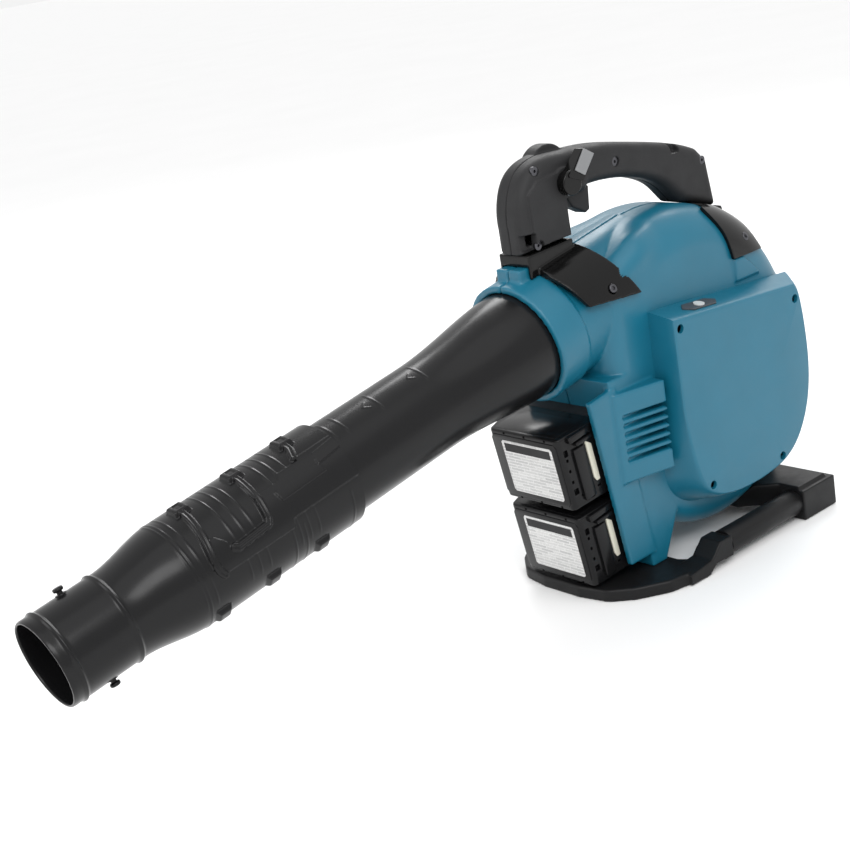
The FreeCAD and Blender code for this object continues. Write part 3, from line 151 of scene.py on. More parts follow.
MATERIALS = {
    "duct_black": plastic("duct_black", (0.006, 0.006, 0.0065), 0.24, 700, 0.02, 0.03, 0.02, shine=0.24),
    "housing_blue": plastic("housing_blue", (0.0042, 0.118, 0.188), 0.36, 1300, 0.03, 0.04, 0.04),
    "switch_plate": plastic("switch_plate", (0.05, 0.05, 0.055), 0.35, 900, 0.02),
    "switch_button": plastic("switch_button", (0.55, 0.57, 0.57), 0.4, 900, 0.02),
    "inner_black": plastic("inner_black", (0.012, 0.012, 0.013), 0.55, 700, 0.06),
    "grille_black": plastic("grille_black", (0.020, 0.020, 0.021), 0.48, 800, 0.08),
    "handle_grey": plastic("handle_grey", (0.020, 0.020, 0.021), 0.55, 520, 0.14, shine=0.22),
    "gloss_black": plastic("gloss_black", (0.004, 0.004, 0.004), 0.16, 900, 0.010, 0.05, 0.02, 0.05, 0.22),
    "lever_grey": plastic("lever_grey", (0.20, 0.205, 0.21), 0.42, 800, 0.05),
    "pack_black": plastic("pack_black", (0.005, 0.005, 0.0055), 0.22, 900, 0.02, 0.03, 0.02, shine=0.24),
    # pale_strip: a painted reflection, a pale patch standing for lamp light shining off the pack's side by the
    # rail.
    "pale_strip": plastic("pale_strip", (0.62, 0.60, 0.50), 0.45, 600, 0.04),
    "button_black": plastic("button_black", (0.02, 0.02, 0.02), 0.5, 700, 0.08),
    "base_black": plastic("base_black", (0.007, 0.007, 0.0075), 0.40, 600, 0.08, shine=0.22),
    "board_green": plastic("board_green", (0.02, 0.10, 0.05), 0.5, 400, 0.10, 0.25),
    "steel": metal("steel", (0.55, 0.55, 0.57), 0.30),
    "copper": metal("copper", (0.62, 0.30, 0.14), 0.38),
    "screw_steel": metal("screw_steel", (0.10, 0.10, 0.11), 0.36),
}


def label_material():
    """A pale printed label: rows of plain fields and hairlines, no words or signs; the grey head bar is a separate
    piece.
    """
    material, tree, shader = new_material("label")
    coordinates = tree.nodes.new("ShaderNodeTexCoord").outputs["Object"]
    bricks = tree.nodes.new("ShaderNodeTexBrick")
    parts = tree.nodes.new("ShaderNodeSeparateXYZ")
    turned = tree.nodes.new("ShaderNodeCombineXYZ")
    tree.links.new(coordinates, parts.inputs["Vector"])
    tree.links.new(parts.outputs["Y"], turned.inputs["X"])
    tree.links.new(parts.outputs["Z"], turned.inputs["Y"])
    tree.links.new(turned.outputs["Vector"], bricks.inputs["Vector"])
    bricks.inputs["Scale"].default_value = 100.0
    bricks.inputs["Color1"].default_value = (0.62, 0.62, 0.61, 1)
    bricks.inputs["Color2"].default_value = (0.44, 0.44, 0.44, 1)
    bricks.inputs["Mortar"].default_value = (0.70, 0.70, 0.69, 1)
    bricks.inputs["Mortar Size"].default_value = 0.045
    bricks.inputs["Brick Width"].default_value = 1.7
    bricks.inputs["Row Height"].default_value = 0.31
    speck = noise(tree, coordinates, 900.0, 2.0)
    mix = tree.nodes.new("ShaderNodeMixRGB")
    mix.blend_type = "MULTIPLY"
    mix.inputs["Fac"].default_value = 0.35
    tree.links.new(bricks.outputs["Color"], mix.inputs["Color1"])
    tree.links.new(spread(tree, speck, 0.55, 1.0, 0.40, 0.55), mix.inputs["Color2"])
    tree.links.new(mix.outputs["Color"], shader.inputs["Base Color"])
    tree.links.new(spread(tree, speck, 0.28, 0.40), shader.inputs["Roughness"])
    return material


MATERIALS["label"] = label_material()
SLOT_OF = {part["node"]: part["material_slot"] for part in RECORD["subparts"]}

# ---------------------------------------------------------------- mesh helpers


def link(name, mesh):
    item = bpy.data.objects.new(name, mesh)
    bpy.context.scene.collection.objects.link(item)
    return item


def smooth_by_angle(item, degrees=32.0):
    """Smooth shading with sharp edges kept where faces meet at more than an angle."""
    mesh = item.data
    mesh.polygons.foreach_set("use_smooth", [True] * len(mesh.polygons))
    mesh.set_sharp_from_angle(angle=math.radians(degrees))


def dress(item, slot, body, *nodes, angle=32.0):
    """Gives a finished piece the material of a slot and its body, smooths its shading, and hides the CAD nodes it
    stands for.
    """
    item.data.materials.clear()
    item.data.materials.append(MATERIALS[slot])
    if angle:
        smooth_by_angle(item, angle)
    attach(item, body)
    if nodes:
        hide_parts(*nodes)
    return item


def baked(item):
    """Replaces the object's mesh by the result of its modifiers."""
    graph = bpy.context.evaluated_depsgraph_get()
    mesh = bpy.data.meshes.new_from_object(item.evaluated_get(graph))
    item.modifiers.clear()
    item.data = mesh
    return item


def weld(mesh, reach):
    """Joins the corners of a mesh that lie closer than reach, in metres."""
    work = bmesh.new()
    work.from_mesh(mesh)
    bmesh.ops.remove_doubles(work, verts=work.verts, dist=reach)
    work.to_mesh(mesh)
    work.free()


def cad_copy(node, name):
    """A copy of a CAD node with its split corners welded again."""
    mesh = frame["nodes"][node].data.copy()
    weld(mesh, WELD_REACH)
    return link(name, mesh)


def moulded(item, voxel, rounds):
    """Rounds every edge and inner corner the way a moulding does: fine remesh, then smoothing."""
    remesh = item.modifiers.new("remesh", "REMESH")
    remesh.mode = "VOXEL"
    remesh.voxel_size = voxel * MM
    smooth = item.modifiers.new("smooth", "SMOOTH")
    smooth.factor = 0.5
    smooth.iterations = rounds
    return baked(item)


def cut(item, *tools):
    """Exact boolean difference; the tools are used up."""
    for tool in tools:
        step = item.modifiers.new("cut", "BOOLEAN")
        step.operation = "DIFFERENCE"
        step.solver = "EXACT"
        step.object = tool
        baked(item)
        bpy.data.objects.remove(tool)
    return item


def fused(name, items):
    """Several meshes in one object."""
    work = bmesh.new()
    for item in items:
        item.data.transform(item.matrix_world)
        work.from_mesh(item.data)
        bpy.data.objects.remove(item)
    mesh = bpy.data.meshes.new(name)
    work.to_mesh(mesh)
    work.free()
    return link(name, mesh)


def grid(name, points, wrap_rows=False, wrap_columns=False):
    """A surface over an array of points, rows by columns."""
    rows, columns = points.shape[:2]
    mesh = bpy.data.meshes.new(name)
    index = np.arange(rows * columns).reshape(rows, columns)
    if wrap_rows:
        index = np.concatenate([index, index[:1]], axis=0)
    if wrap_columns:
        index = np.concatenate([index, index[:, :1]], axis=1)
    faces = np.stack([index[:-1, :-1], index[:-1, 1:], index[1:, 1:], index[1:, :-1]], axis=-1).reshape(-1, 4)
    mesh.vertices.add(rows * columns)
    mesh.vertices.foreach_set("co", points.astype(np.float32).reshape(-1))
    mesh.loops.add(faces.size)
    mesh.loops.foreach_set("vertex_index", faces.astype(np.int32).reshape(-1))
    mesh.polygons.add(len(faces))
    mesh.polygons.foreach_set("loop_start", np.arange(0, faces.size, 4, dtype=np.int32))
    mesh.polygons.foreach_set("loop_total", np.full(len(faces), 4, dtype=np.int32))
    mesh.update(calc_edges=True)
    mesh.validate()
    return link(name, mesh)


def outward(item):
    """Turns every face's front to the outside."""
    work = bmesh.new()
    work.from_mesh(item.data)
    bmesh.ops.recalc_face_normals(work, faces=work.faces)
    work.to_mesh(item.data)
    work.free()
    return item


def block(name, low, high, matrix=None, bevel=0.0, segments=3):
    """A box in mm, placed by a matrix, with rounded edges."""
    work = bmesh.new()
    bmesh.ops.create_cube(work, size=1.0)
    low = Vector(low) * MM
    high = Vector(high) * MM
    for vert in work.verts:
        for axis in range(3):
            vert.co[axis] = low[axis] if vert.co[axis] < 0 else high[axis]
    if bevel:
        bmesh.ops.bevel(work, geom=list(work.edges), offset=bevel * MM, segments=segments, profile=0.5,
                        affect="EDGES", clamp_overlap=True)
    if matrix:
        work.transform(matrix)
    mesh = bpy.data.meshes.new(name)
    work.to_mesh(mesh)
    work.free()
    return link(name, mesh)


def slab(name, outline, low, high, matrix=None, bevel=0.0, segments=3):
    """An outline in mm given a thickness along Z, then placed by a matrix."""
    work = bmesh.new()
    bottom = [work.verts.new((x * MM, y * MM, low * MM)) for x, y in outline]
    top = [work.verts.new((x * MM, y * MM, high * MM)) for x, y in outline]
    work.faces.new(bottom[::-1])
    work.faces.new(top)
    count = len(outline)
    for i in range(count):
        work.faces.new((bottom[i], bottom[(i + 1) % count], top[(i + 1) % count], top[i]))
    bmesh.ops.recalc_face_normals(work, faces=work.faces)
    if bevel:
        bmesh.ops.bevel(work, geom=list(work.edges), offset=bevel * MM, segments=segments, profile=0.5,
                        affect="EDGES", clamp_overlap=True)
    if matrix:
        work.transform(matrix)
    mesh = bpy.data.meshes.new(name)
    work.to_mesh(mesh)
    work.free()
    return link(name, mesh)


def rod(name, radius, start, end, steps=32, bevel=0.0):
    """A round bar between two points in metres, radius in mm."""
    start = Vector(start)
    axis = Vector(end) - start
    work = bmesh.new()
    bmesh.ops.create_cone(work, cap_ends=True, segments=steps, radius1=radius * MM, radius2=radius * MM,
                          depth=axis.length)
    if bevel:
        rims = [e for e in work.edges if abs(e.verts[0].co.z - e.verts[1].co.z) < 1e-7]
        bmesh.ops.bevel(work, geom=rims, offset=bevel * MM, segments=3, profile=0.5, affect="EDGES")
    turn = axis.to_track_quat("Z", "Y").to_matrix().to_4x4()
    work.transform(Matrix.Translation(start + axis / 2) @ turn)
    mesh = bpy.data.meshes.new(name)
    work.to_mesh(mesh)
    work.free()
    return link(name, mesh)


def smoothstep(value):
    value = np.clip(value, 0.0, 1.0)
    return value * value * (3 - 2 * value)


def distance_to_path(x, y, path):
    """Distance from every point to a chain of straight lines."""
    best = np.full(x.shape, 1e9)
    for (ax, ay), (bx, by) in zip(path[:-1], path[1:]):
        dx, dy = bx - ax, by - ay
        share = np.clip(((x - ax) * dx + (y - ay) * dy) / (dx * dx + dy * dy), 0, 1)
        best = np.minimum(best, np.hypot(x - ax - share * dx, y - ay - share * dy))
    return best


def inside(x, y, outline):
    """Signed distance to an outline: positive inside."""
    path = list(outline) + [outline[0]]
    hit = np.zeros(x.shape, bool)
    for (ax, ay), (bx, by) in zip(path[:-1], path[1:]):
        if ay == by:
            continue
        crosses = (ay > y) != (by > y)
        hit ^= crosses & (x < (bx - ax) * (y - ay) / (by - ay) + ax)
    reach = distance_to_path(x, y, path)
    return np.where(hit, reach, -reach)


def ridge(reach, width, height, edge=0.8):
    """A flat-topped rib: reach is the distance from its middle line."""
    return height * smoothstep((width / 2 - reach) / edge + 0.5)


def rise(signed, height, edge=0.8):
    return height * smoothstep(signed / edge + 0.5)


# ---------------------------------------------------------------- nozzle and pipe

SLEEVE_RADIUS = 45.0
NOSE_RADIUS = 36.3
WALL = 2.4
TIP = 503.8
SLEEVE_STEPS = 520
PIPE_STEPS = 360
HOOK_PLACE = 467
HOOK_ANGLES = (72.0, 252.0)


def sleeve_radius(d):
    flare = smoothstep((d - 382.0) / 58.0)
    radius = SLEEVE_RADIUS + (NOSE_RADIUS - SLEEVE_RADIUS) * flare
    for place, height in ((444.1, 1.55), (493.1, 1.55)):
        radius = radius + height * np.exp(-((d - place) / 1.5) ** 2)
    radius = radius + 0.45 * np.exp(-((d - 386.5) / 0.9) ** 2)
    lip = smoothstep((d - 500.6) / 3.2)
    return radius - 0.5 * lip


def sleeve_relief(d, theta):
    """Height of the raised bayonet tracks, plateau, strips and lugs."""
    arc = SLEEVE_RADIUS * math.pi / 180
    s = theta * arc

    def at(*corners):
        return [(place, degrees * arc) for place, degrees in corners]

    height = np.zeros_like(d)
    plateau = at(
        (230, 120), (266, 120), (268, 124), (288, 124), (292, 131), (310, 132), (317.5, 140), (318, 159.5),
        (351, 161.5), (354, 153), (361, 142), (366, 142), (370, 158), (371.5, 177), (300, 178.5), (298, 170),
        (230, 170),
    )
    height = np.maximum(height, rise(inside(d, s, plateau), 1.5, 1.5))
    height += rise(inside(d, s, at((256, 139), (301, 139), (299, 150), (254, 149))), 0.9, 0.5)
    height += rise(inside(d, s, at((231, 124), (255, 127), (257, 140), (232, 137))), 0.9, 0.5)
    height -= rise(inside(d, s, at((320, 152), (350, 153.5), (350, 160.5), (320, 159))), 0.9, 0.8)
    tracks = (
        at((363.5, 92), (365, 112), (367.5, 135), (371.5, 160), (371, 172), (368.5, 177)),
        at((312.5, 92), (313.5, 112), (314.5, 138), (316.5, 155), (319, 160.5), (349, 162.5), (352, 160)),
        at((262.5, 92), (264, 108), (268, 119)),
    )
    for path in tracks:
        reach = distance_to_path(d, s, path)
        height = np.maximum(height, ridge(reach, 6.0, 3.1, 1.6))
        height -= ridge(reach, 1.5, 0.55, 0.9)
    for place in (363.5, 312.5, 262.5):
        height = np.maximum(height, rise(inside(d, s, at(
            (place - 6.6, 84), (place + 6.6, 84), (place + 6.6, 101), (place - 6.6, 101))), 4.4, 2.6))
        height -= rise(inside(d, s, at(
            (place - 2.8, 88), (place + 2.8, 88), (place + 2.8, 97), (place - 2.8, 97))), 0.8, 1.0)
    for place in (277.5, 327.0, 376.0):
        height = np.maximum(height, rise(inside(d, s, at(
            (place - 6, 214), (place + 6, 214), (place + 6, 229), (place - 6, 229))), 3.4, 3.6))
        height = np.maximum(height, rise(inside(d, s, at(
            (place - 5, 262), (place + 5, 262), (place + 4, 330), (place - 3, 330))), 2.2, 2.4))
    fade = smoothstep((theta - 66) / 10) * smoothstep((206 - theta) / 12)
    free = smoothstep(1 - height / 0.8)
    for place in (279, 288, 297, 329, 338, 347, 380, 389.5):
        height += 0.45 * np.exp(-((d - place) / 0.8) ** 2) * fade * free
    low = smoothstep((theta - 178) / 3) * smoothstep((246 - theta) / 8)
    for place in (243.5, 292.5, 303.5):
        height += 0.4 * np.exp(-((d - place) / 0.8) ** 2) * low
    return height + 0.2 * (np.exp(-((theta - 60) / 0.5) ** 2) + np.exp(-((theta - 247) / 0.5) ** 2))


def duct_surface(name, profile, relief, steps):
    """A closed tube: profile rows are (distance, radius, counts for relief)."""
    theta = np.linspace(0, 360, steps, endpoint=False)
    d = np.array([row[0] for row in profile])
    radius = np.array([row[1] for row in profile])
    outer = np.array([row[2] for row in profile])
    dd, tt = np.meshgrid(d, theta, indexing="ij")
    reach = radius[:, None] + outer[:, None] * relief(dd, tt)
    turn = np.radians(tt)
    around = np.cos(turn)[..., None] * np.array(RIGHT) + np.sin(turn)[..., None] * np.array(UP_DUCT)
    points = np.array(ROOT) - dd[..., None] * MM * np.array(BACK) + reach[..., None] * MM * around
    return outward(grid(name, points, wrap_rows=True, wrap_columns=True))


def make_nozzle():
    rows = []
    rear = 232.3
    for d in np.arange(rear, TIP - 0.5, 0.62):
        rows.append((d, float(sleeve_radius(d)), 1.0))
    rows += [(TIP - 0.3, NOSE_RADIUS - 0.62, 0.0), (TIP, NOSE_RADIUS - 1.0, 0.0),
             (TIP, NOSE_RADIUS - WALL + 0.5, 0.0), (TIP - 0.4, NOSE_RADIUS - WALL + 0.1, 0.0),
             (TIP - 2, NOSE_RADIUS - WALL, 0.0)]
    for d in np.arange(TIP - 6, 384, -6.0):
        rows.append((d, max(float(sleeve_radius(d)) - WALL, NOSE_RADIUS - WALL), 0.0))
    rows += [(384.0, 40.4, 0.0), (340.0, 40.35, 0.0), (290.0, 40.35, 0.0), (236.0, 40.35, 0.0),
             (rear, 40.7, 0.0), (rear - 0.3, 41.2, 0.0), (rear - 0.3, 44.0, 0.0)]
    item = duct_surface("nozzle_sleeve", rows, sleeve_relief, SLEEVE_STEPS)
    dress(item, "duct_black", "nozzle", "front_nozzle", angle=60)
    for number, angle in enumerate(HOOK_ANGLES):
        parts = []
        for name, radius, low, high, steps, bevel in (
            ("hook_stem", 2.3, -1.0, 4.2, 28, 0.5), ("hook_cap", 4.2, 2.6, 5.9, 32, 1.2),
            ("hook_foot", 4.6, -1.2, 0.7, 32, 0.6),
        ):
            parts.append(rod(name, radius, on_duct(HOOK_PLACE, NOSE_RADIUS + low, angle),
                             on_duct(HOOK_PLACE, NOSE_RADIUS + high, angle), steps, bevel))
        dress(fused("nozzle_hook_%d" % number, parts), "duct_black", "nozzle", angle=40)


def pipe_radius(d):
    flare = smoothstep(1 - (d - 8.0) / 116.0) ** 1.08
    return 40.0 + 9.7 * flare


def pipe_relief(d, theta):
    """Length marks: short arcs with a small arrow beside each."""
    height = np.zeros_like(d)
    s = (theta - 108) * 40 * math.pi / 180
    for place in (125.0, 175.0, 213.0, 225.0):
        arc = np.exp(-((d - place) / 0.7) ** 2)
        height += 0.38 * arc * smoothstep((theta - 84) / 3) * smoothstep((128 - theta) / 3)
    for place in (134.0, 184.0, 235.0):
        for sign in (-1, 1):
            path = [(place + 3.4, 0.0), (place - 1.6, sign * 4.2)]
            height = np.maximum(height, ridge(distance_to_path(d, s, path), 1.1, 0.42, 0.7))
    height += 0.22 * (np.exp(-((theta - 60) / 0.45) ** 2) + np.exp(-((theta - 240) / 0.45) ** 2))
    return height


def make_pipe():
    rows = [(-15.6, 49.0, 0.0), (-15.6, 49.8, 0.0), (0.0, 49.8, 0.0)]
    for d in np.arange(7.0, 281.0, 1.0):
        rows.append((d, float(pipe_radius(d)), 1.0))
    rows += [(281.6, 39.6, 0.0), (281.9, 39.0, 0.0), (281.9, 38.2, 0.0), (281.0, 37.6, 0.0)]
    for d in np.arange(270.0, 10.0, -10.0):
        rows.append((d, float(pipe_radius(d)) - WALL, 0.0))
    rows += [(0.0, 47.4, 0.0), (-15.6, 47.5, 0.0)]
    item = duct_surface("blower_pipe", rows, pipe_relief, PIPE_STEPS)
    dress(item, "duct_black", "housing", "rear_pipe", angle=60)


# ---------------------------------------------------------------- housing

CROWN_CENTRE = (112.0, 167.0)
CROWN_FLAT = 18.0
CROWN_LEVEL = 120.0
CROWN_REACH = (39.0, 38.0)
CROWN_START = (50, 190)
CROWN_BLEND = (40, 45)


def crown(item, outer, inner, floor=0.0):
    """Rounds the scroll's top from its spine to its sides; outer and inner are limits, 1 is the shell."""
    mesh = item.data
    count = len(mesh.vertices)
    points = np.zeros(count * 3, np.float32)
    normals = np.zeros(count * 3, np.float32)
    mesh.vertices.foreach_get("co", points)
    mesh.vertices.foreach_get("normal", normals)
    points = points.reshape(-1, 3).astype(float) / MM
    normals = normals.reshape(-1, 3)
    x, y, z = points.T
    radius = np.hypot(x - CROWN_CENTRE[0], z - CROWN_CENTRE[1])
    across = np.abs(y) - CROWN_FLAT
    above = radius - CROWN_LEVEL
    held = (across > 0) & (above > 0) & (x > CROWN_START[0]) & (z > CROWN_START[1])
    reach = np.hypot(across / CROWN_REACH[0], above / CROWN_REACH[1])
    facing = normals[:, 1] * np.sign(y) * across + above * (
        normals[:, 0] * (x - CROWN_CENTRE[0]) + normals[:, 2] * (z - CROWN_CENTRE[1])) / np.maximum(radius, 1)
    limit = np.where(facing > 0, outer, inner)
    wanted = np.maximum(np.minimum(reach, limit), floor)
    along = smoothstep((x - CROWN_START[0]) / CROWN_BLEND[0])
    weight = along * smoothstep((z - CROWN_START[1]) / CROWN_BLEND[1])
    scale = np.where(held & (reach > 0.01), 1 + (wanted / np.maximum(reach, 0.01) - 1) * weight, 1.0)
    new_radius = CROWN_LEVEL + above * scale
    grow = np.where(held, new_radius / np.maximum(radius, 1), 1.0)
    points[:, 0] = CROWN_CENTRE[0] + (x - CROWN_CENTRE[0]) * grow
    points[:, 2] = CROWN_CENTRE[1] + (z - CROWN_CENTRE[1]) * grow
    points[:, 1] = np.where(held, np.sign(y) * (CROWN_FLAT + across * scale), y)
    mesh.vertices.foreach_set("co", (points * MM).astype(np.float32).reshape(-1))
    mesh.update()
    return item


def make_housing():
    for node in ("left_housing", "right_housing"):
        item = cad_copy(node, node + "_shell")
        moulded(item, 1.15, 9)
        crown(item, 1.0, 0.92)
        dress(item, "housing_blue", NODE_BODY[node], node, angle=70)


def screw_head(name, seat, direction, radius=4.0):
    """A pan head with a six-lobe recess; seat is the underside, direction points outward."""
    direction = Vector(direction).normalized()
    top = Vector(seat) + direction * 2.4 * MM
    head = rod(name, radius, seat, top, 40, 0.7)
    tools = []
    for step in range(3):
        spin = Matrix.Rotation(math.radians(60 * step), 3, "Z").to_quaternion()
        turn = direction.to_track_quat("Z", "Y") @ spin
        matrix = Matrix.Translation(top) @ turn.to_matrix().to_4x4()
        tools.append(block("lobe", (-1.8, -0.55, -1.4), (1.8, 0.55, 1), matrix, 0.3, 2))
    return cut(head, *tools)


SADDLE_SCREWS = (((0.010, 0.0573, 0.280), (0, 0.36)), ((0.194, 0.0548, 0.278), (0.15, 0.33)))


def make_saddles():
    rear = cad_copy("rear_saddle", "rear_saddle_piece")
    moulded(rear, 0.8, 6)
    crown(rear, 1.095, 1.01, 1.01)
    dress(rear, "gloss_black", NODE_BODY["rear_saddle"], "rear_saddle", angle=70)
    front = cad_copy("front_saddle", "front_saddle_piece")
    moulded(front, 0.8, 9)
    dress(front, "gloss_black", NODE_BODY["front_saddle"], "front_saddle", angle=70)
    heads = []
    for side in (-1, 1):
        for (x, y, z), (along, up) in SADDLE_SCREWS:
            heads.append(screw_head("head", Vector((x, side * y, z)), (along, side * 0.93, up)))
    screws = fused("saddle_screw_heads", heads)
    dress(screws, "screw_steel", NODE_BODY["saddle_screws"], "saddle_screws", angle=35)


COVER_BASE = [
    (-70, 84), (126, 67), (134, 59), (139, 32), (142, 2), (142, -23), (137, -51), (125, -77), (106, -97),
    (80, -108), (50, -114), (15, -117), (-20, -115), (-53, -106), (-73, -85), (-74, -53), (-71, -16),
]
COVER_FACE = [
    (-70.5, 79), (101, 64), (106, 56), (110, 32), (112, 5), (112, -21), (108, -46), (99, -69), (84, -89),
    (64, -101), (36, -106), (10, -107), (-16, -105), (-38, -99), (-54, -87), (-64, -55), (-70, -11),
]
COVER_SOFT = range(2, 16)
COVER_ROOT = -57.0
COVER_RISE = 29.9
COVER_TOP = -86.95
COVER_INSIDE = -83.5
COVER_WELLS = [(57.5, 232), (77, 76), (179, 68), (219, 213)]


def softened(corners, rounds=2):
    """Cuts the marked corners of an outline again and again, so they turn into a curve."""
    points = [(Vector(point), index in COVER_SOFT) for index, point in enumerate(corners)]
    for _ in range(rounds):
        made = []
        for index, (point, soft) in enumerate(points):
            if not soft:
                made.append((point, False))
                continue
            before = points[index - 1][0]
            after = points[(index + 1) % len(points)][0]
            made += [(point.lerp(before, 0.25), True), (point.lerp(after, 0.25), True)]
        points = made
    return [point for point, _ in points]


def make_cover():
    """The motor cover: a lofted shell with a rounded face edge and screw wells."""
    base = softened(COVER_BASE)
    face = softened(COVER_FACE)
    centre = sum(face, Vector((0, 0))) / len(face)
    rings = []
    for share in (0.0, 0.33, 0.66, 0.90):
        rings.append([(b.lerp(f, share), COVER_ROOT - COVER_RISE * share) for b, f in zip(base, face)])
    for inset, depth in ((0.45, -86.1), (1.4, -86.75), (2.8, COVER_TOP)):
        rings.append([(f + (centre - f).normalized() * inset, depth) for f in face])
    for share in (0.5, 1.0):
        rings.append([(f.lerp(centre, 0.08 + 0.92 * share), COVER_TOP) for f in face])
    back = [
        [(b.lerp(centre, 0.05), COVER_ROOT) for b in base],
        [(f.lerp(centre, 0.06), COVER_INSIDE) for f in face],
        [(centre, COVER_INSIDE) for _ in face],
    ]
    rows = list(reversed(back)) + rings
    points = np.array([[(FAN.x / MM + c.x, y, FAN.z / MM + c.y) for c, y in row] for row in rows]) * MM
    item = grid("motor_cover_shell", points, wrap_columns=True)
    weld(item.data, 1e-6)
    outward(item)
    tools = []
    for x, z in COVER_WELLS:
        tools.append(rod("well", 4.2, (x * MM, -0.095, z * MM), (x * MM, -0.0795, z * MM), 32))
    cut(item, *tools)
    dress(item, "housing_blue", NODE_BODY["motor_cover"], "motor_cover", angle=30)


# ---------------------------------------------------------------- battery packs


FACE_TURN = Matrix(((0, 0, 1, 0), (1, 0, 0, 0), (0, 1, 0, 0), (0, 0, 0, 1)))
SIDE_TURN = Matrix(((1, 0, 0, 0), (0, 0, -1, 0), (0, 1, 0, 0), (0, 0, 0, 1)))
LABEL_OFFSET = Vector((-0.0002, -0.002, -0.0342))


def pack_matrix(name):
    """A pack's own axes: X into the machine, Y right, Z up; the origin is its front top edge."""
    inward = -Vector(JOINTS["upper_release_press"]["axis"]).normalized()
    upward = inward.cross(RIGHT)
    low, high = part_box(name + "_label")
    matrix = Matrix((inward, RIGHT, upward)).transposed().to_4x4()
    matrix.translation = (low + high) / 2 - matrix.to_3x3() @ LABEL_OFFSET
    return matrix


CASE_OUTLINE = [(0.8, -40.5), (3.6, -43.9), (50.2, -49.6), (50.2, 57.6), (3.6, 44.2), (0.8, 41)]
FRONT_OUTLINE = [
    (-38, -4.2), (38.5, -4.2), (41.5, -8), (41.5, -64), (37, -67.6), (-37, -67.6), (-40.8, -64), (-40.8, -8),
]
# Outline of the painted reflection on the pack's side by the rail.
REFLECTION_STRIP_OUTLINE = [(29.2, -13), (35.4, -18.5), (35.4, -54.5), (31.2, -54.5), (29.2, -50)]
LABEL_OUTLINE = [
    (-33, -9), (27, -9), (29, -11), (29, -60), (27, -62), (-33, -62), (-35, -60), (-35, -11),
]
BAR_OUTLINE = [(-32, -11.5), (26, -11.5), (26, -20), (-32, -20)]
SIGHT_HOLES = (
    (7.5, -15.5, 2.2, 3.2), (7.2, -22.5, 1.2, 1.5), (7.2, -33, 1.2, 1.5), (7.2, -44, 1.2, 1.5),
    (8.2, -54, 2.6, 3.0),
)


def make_pack(name):
    """The pack's case with stepped end, sight holes, ribs, rails and label, and a painted reflection: a pale strip
    by the rail where a lamp shines off the case.
    """
    matrix = pack_matrix(name)
    body = NODE_BODY[name + "_pack"]
    case = slab("case", CASE_OUTLINE, -71.4, -0.3, matrix, 2.6, 4)
    tools = []
    for depth, level, wide, tall in SIGHT_HOLES:
        low = (depth - wide, -50, level - tall)
        high = (depth + wide, -40.5, level + tall)
        tools.append(block("hole", low, high, matrix, 0.6, 2))
    for depth, drop in ((14, -60), (33, -60), (24, -66.5)):
        low = (depth - 2, -52, drop - 1)
        high = (depth + 2, -44, drop + 1)
        tools.append(block("foot_notch", low, high, matrix, 0.4, 2))
    for across in (-28, -2, 24):
        for level in (-2.4, -69.3):
            low = (-1, across - 1.2, level - 1)
            high = (2.4, across + 1.2, level + 1)
            tools.append(block("rim_notch", low, high, matrix))
    cut(case, *tools)
    front = slab("front", FRONT_OUTLINE, 0.0, 1.6, matrix @ FACE_TURN, 0.5, 3)
    steps = [
        block("shoulder", (11, -50.0, -7.5), (38, -43, -0.9), matrix, 1.5, 4),
        block("shoulder_low", (17, -51.0, -12.6), (37, -44, -8.6), matrix, 1.4, 4),
        block("end_panel", (14, -48.6, -66), (27.2, -44, -15), matrix, 1.0, 3),
        block("rail_stem", (49, -47.5, -53.6), (55.2, 41.6, -14.8), matrix, 0.6, 2),
        block("rail_head", (55.0, -47.5, -58.8), (59.8, 41.6, -9.6), matrix, 0.8, 2),
        block("top_plate", (5, -38, -0.9), (40, 40, -0.05), matrix, 0.4, 2),
    ]
    whole = fused(name + "_pack_case", [case, front] + steps)
    dress(whole, "pack_black", body, name + "_pack", angle=35)
    # A pale slab on the pack's side by the rail: a painted reflection of a lamp, not a part of the pack.
    reflection_strip = slab("reflection_strip", REFLECTION_STRIP_OUTLINE, 44.5, 48.5, matrix @ SIDE_TURN, 0.4, 2)
    dress(reflection_strip, "pale_strip", body, name + "_strip", angle=35)
    reflection_strip.name = name + "_painted_reflection_strip"
    plate = slab("plate", LABEL_OUTLINE, -0.35, 0.2, matrix @ FACE_TURN, 0.1, 2)
    plate.name = name + "_label_plate"
    dress(plate, "label", body, name + "_label", angle=35)
    bar = slab("bar", BAR_OUTLINE, -0.42, -0.3, matrix @ FACE_TURN, 0.02, 1)
    bar.name = name + "_label_bar"
    dress(bar, "handle_grey", body, angle=35)
    button = block("button", (27, 45.2, -49), (48, 56.8, -19.4), matrix, 1.5, 3)
    ribs = []
    for level in range(-46, -21, 5):
        ribs.append(block("rib", (28.5, 44.7, level), (46.5, 57.3, level + 2), matrix, 0.7, 2))
    release = fused(name + "_release", [button] + ribs)
    dress(release, "button_black", NODE_BODY[name + "_release_button"], name + "_release_button", angle=35)


# ---------------------------------------------------------------- handle, base and CAD pieces


def finish_moulding(node, voxel, rounds):
    """A CAD piece shown with softly rounded edges."""
    item = moulded(cad_copy(node, node + "_piece"), voxel, rounds)
    dress(item, SLOT_OF[node], NODE_BODY[node], node, angle=70)


make_nozzle()
make_pipe()
make_housing()
make_cover()
make_pack("upper")
make_pack("lower")
for node in ("handle_left", "handle_right"):
    finish_moulding(node, 0.8, 5)
make_saddles()
for node, rounds in (("front_base", 6), ("rear_foot", 22)):
    finish_moulding(node, 1.0, rounds)

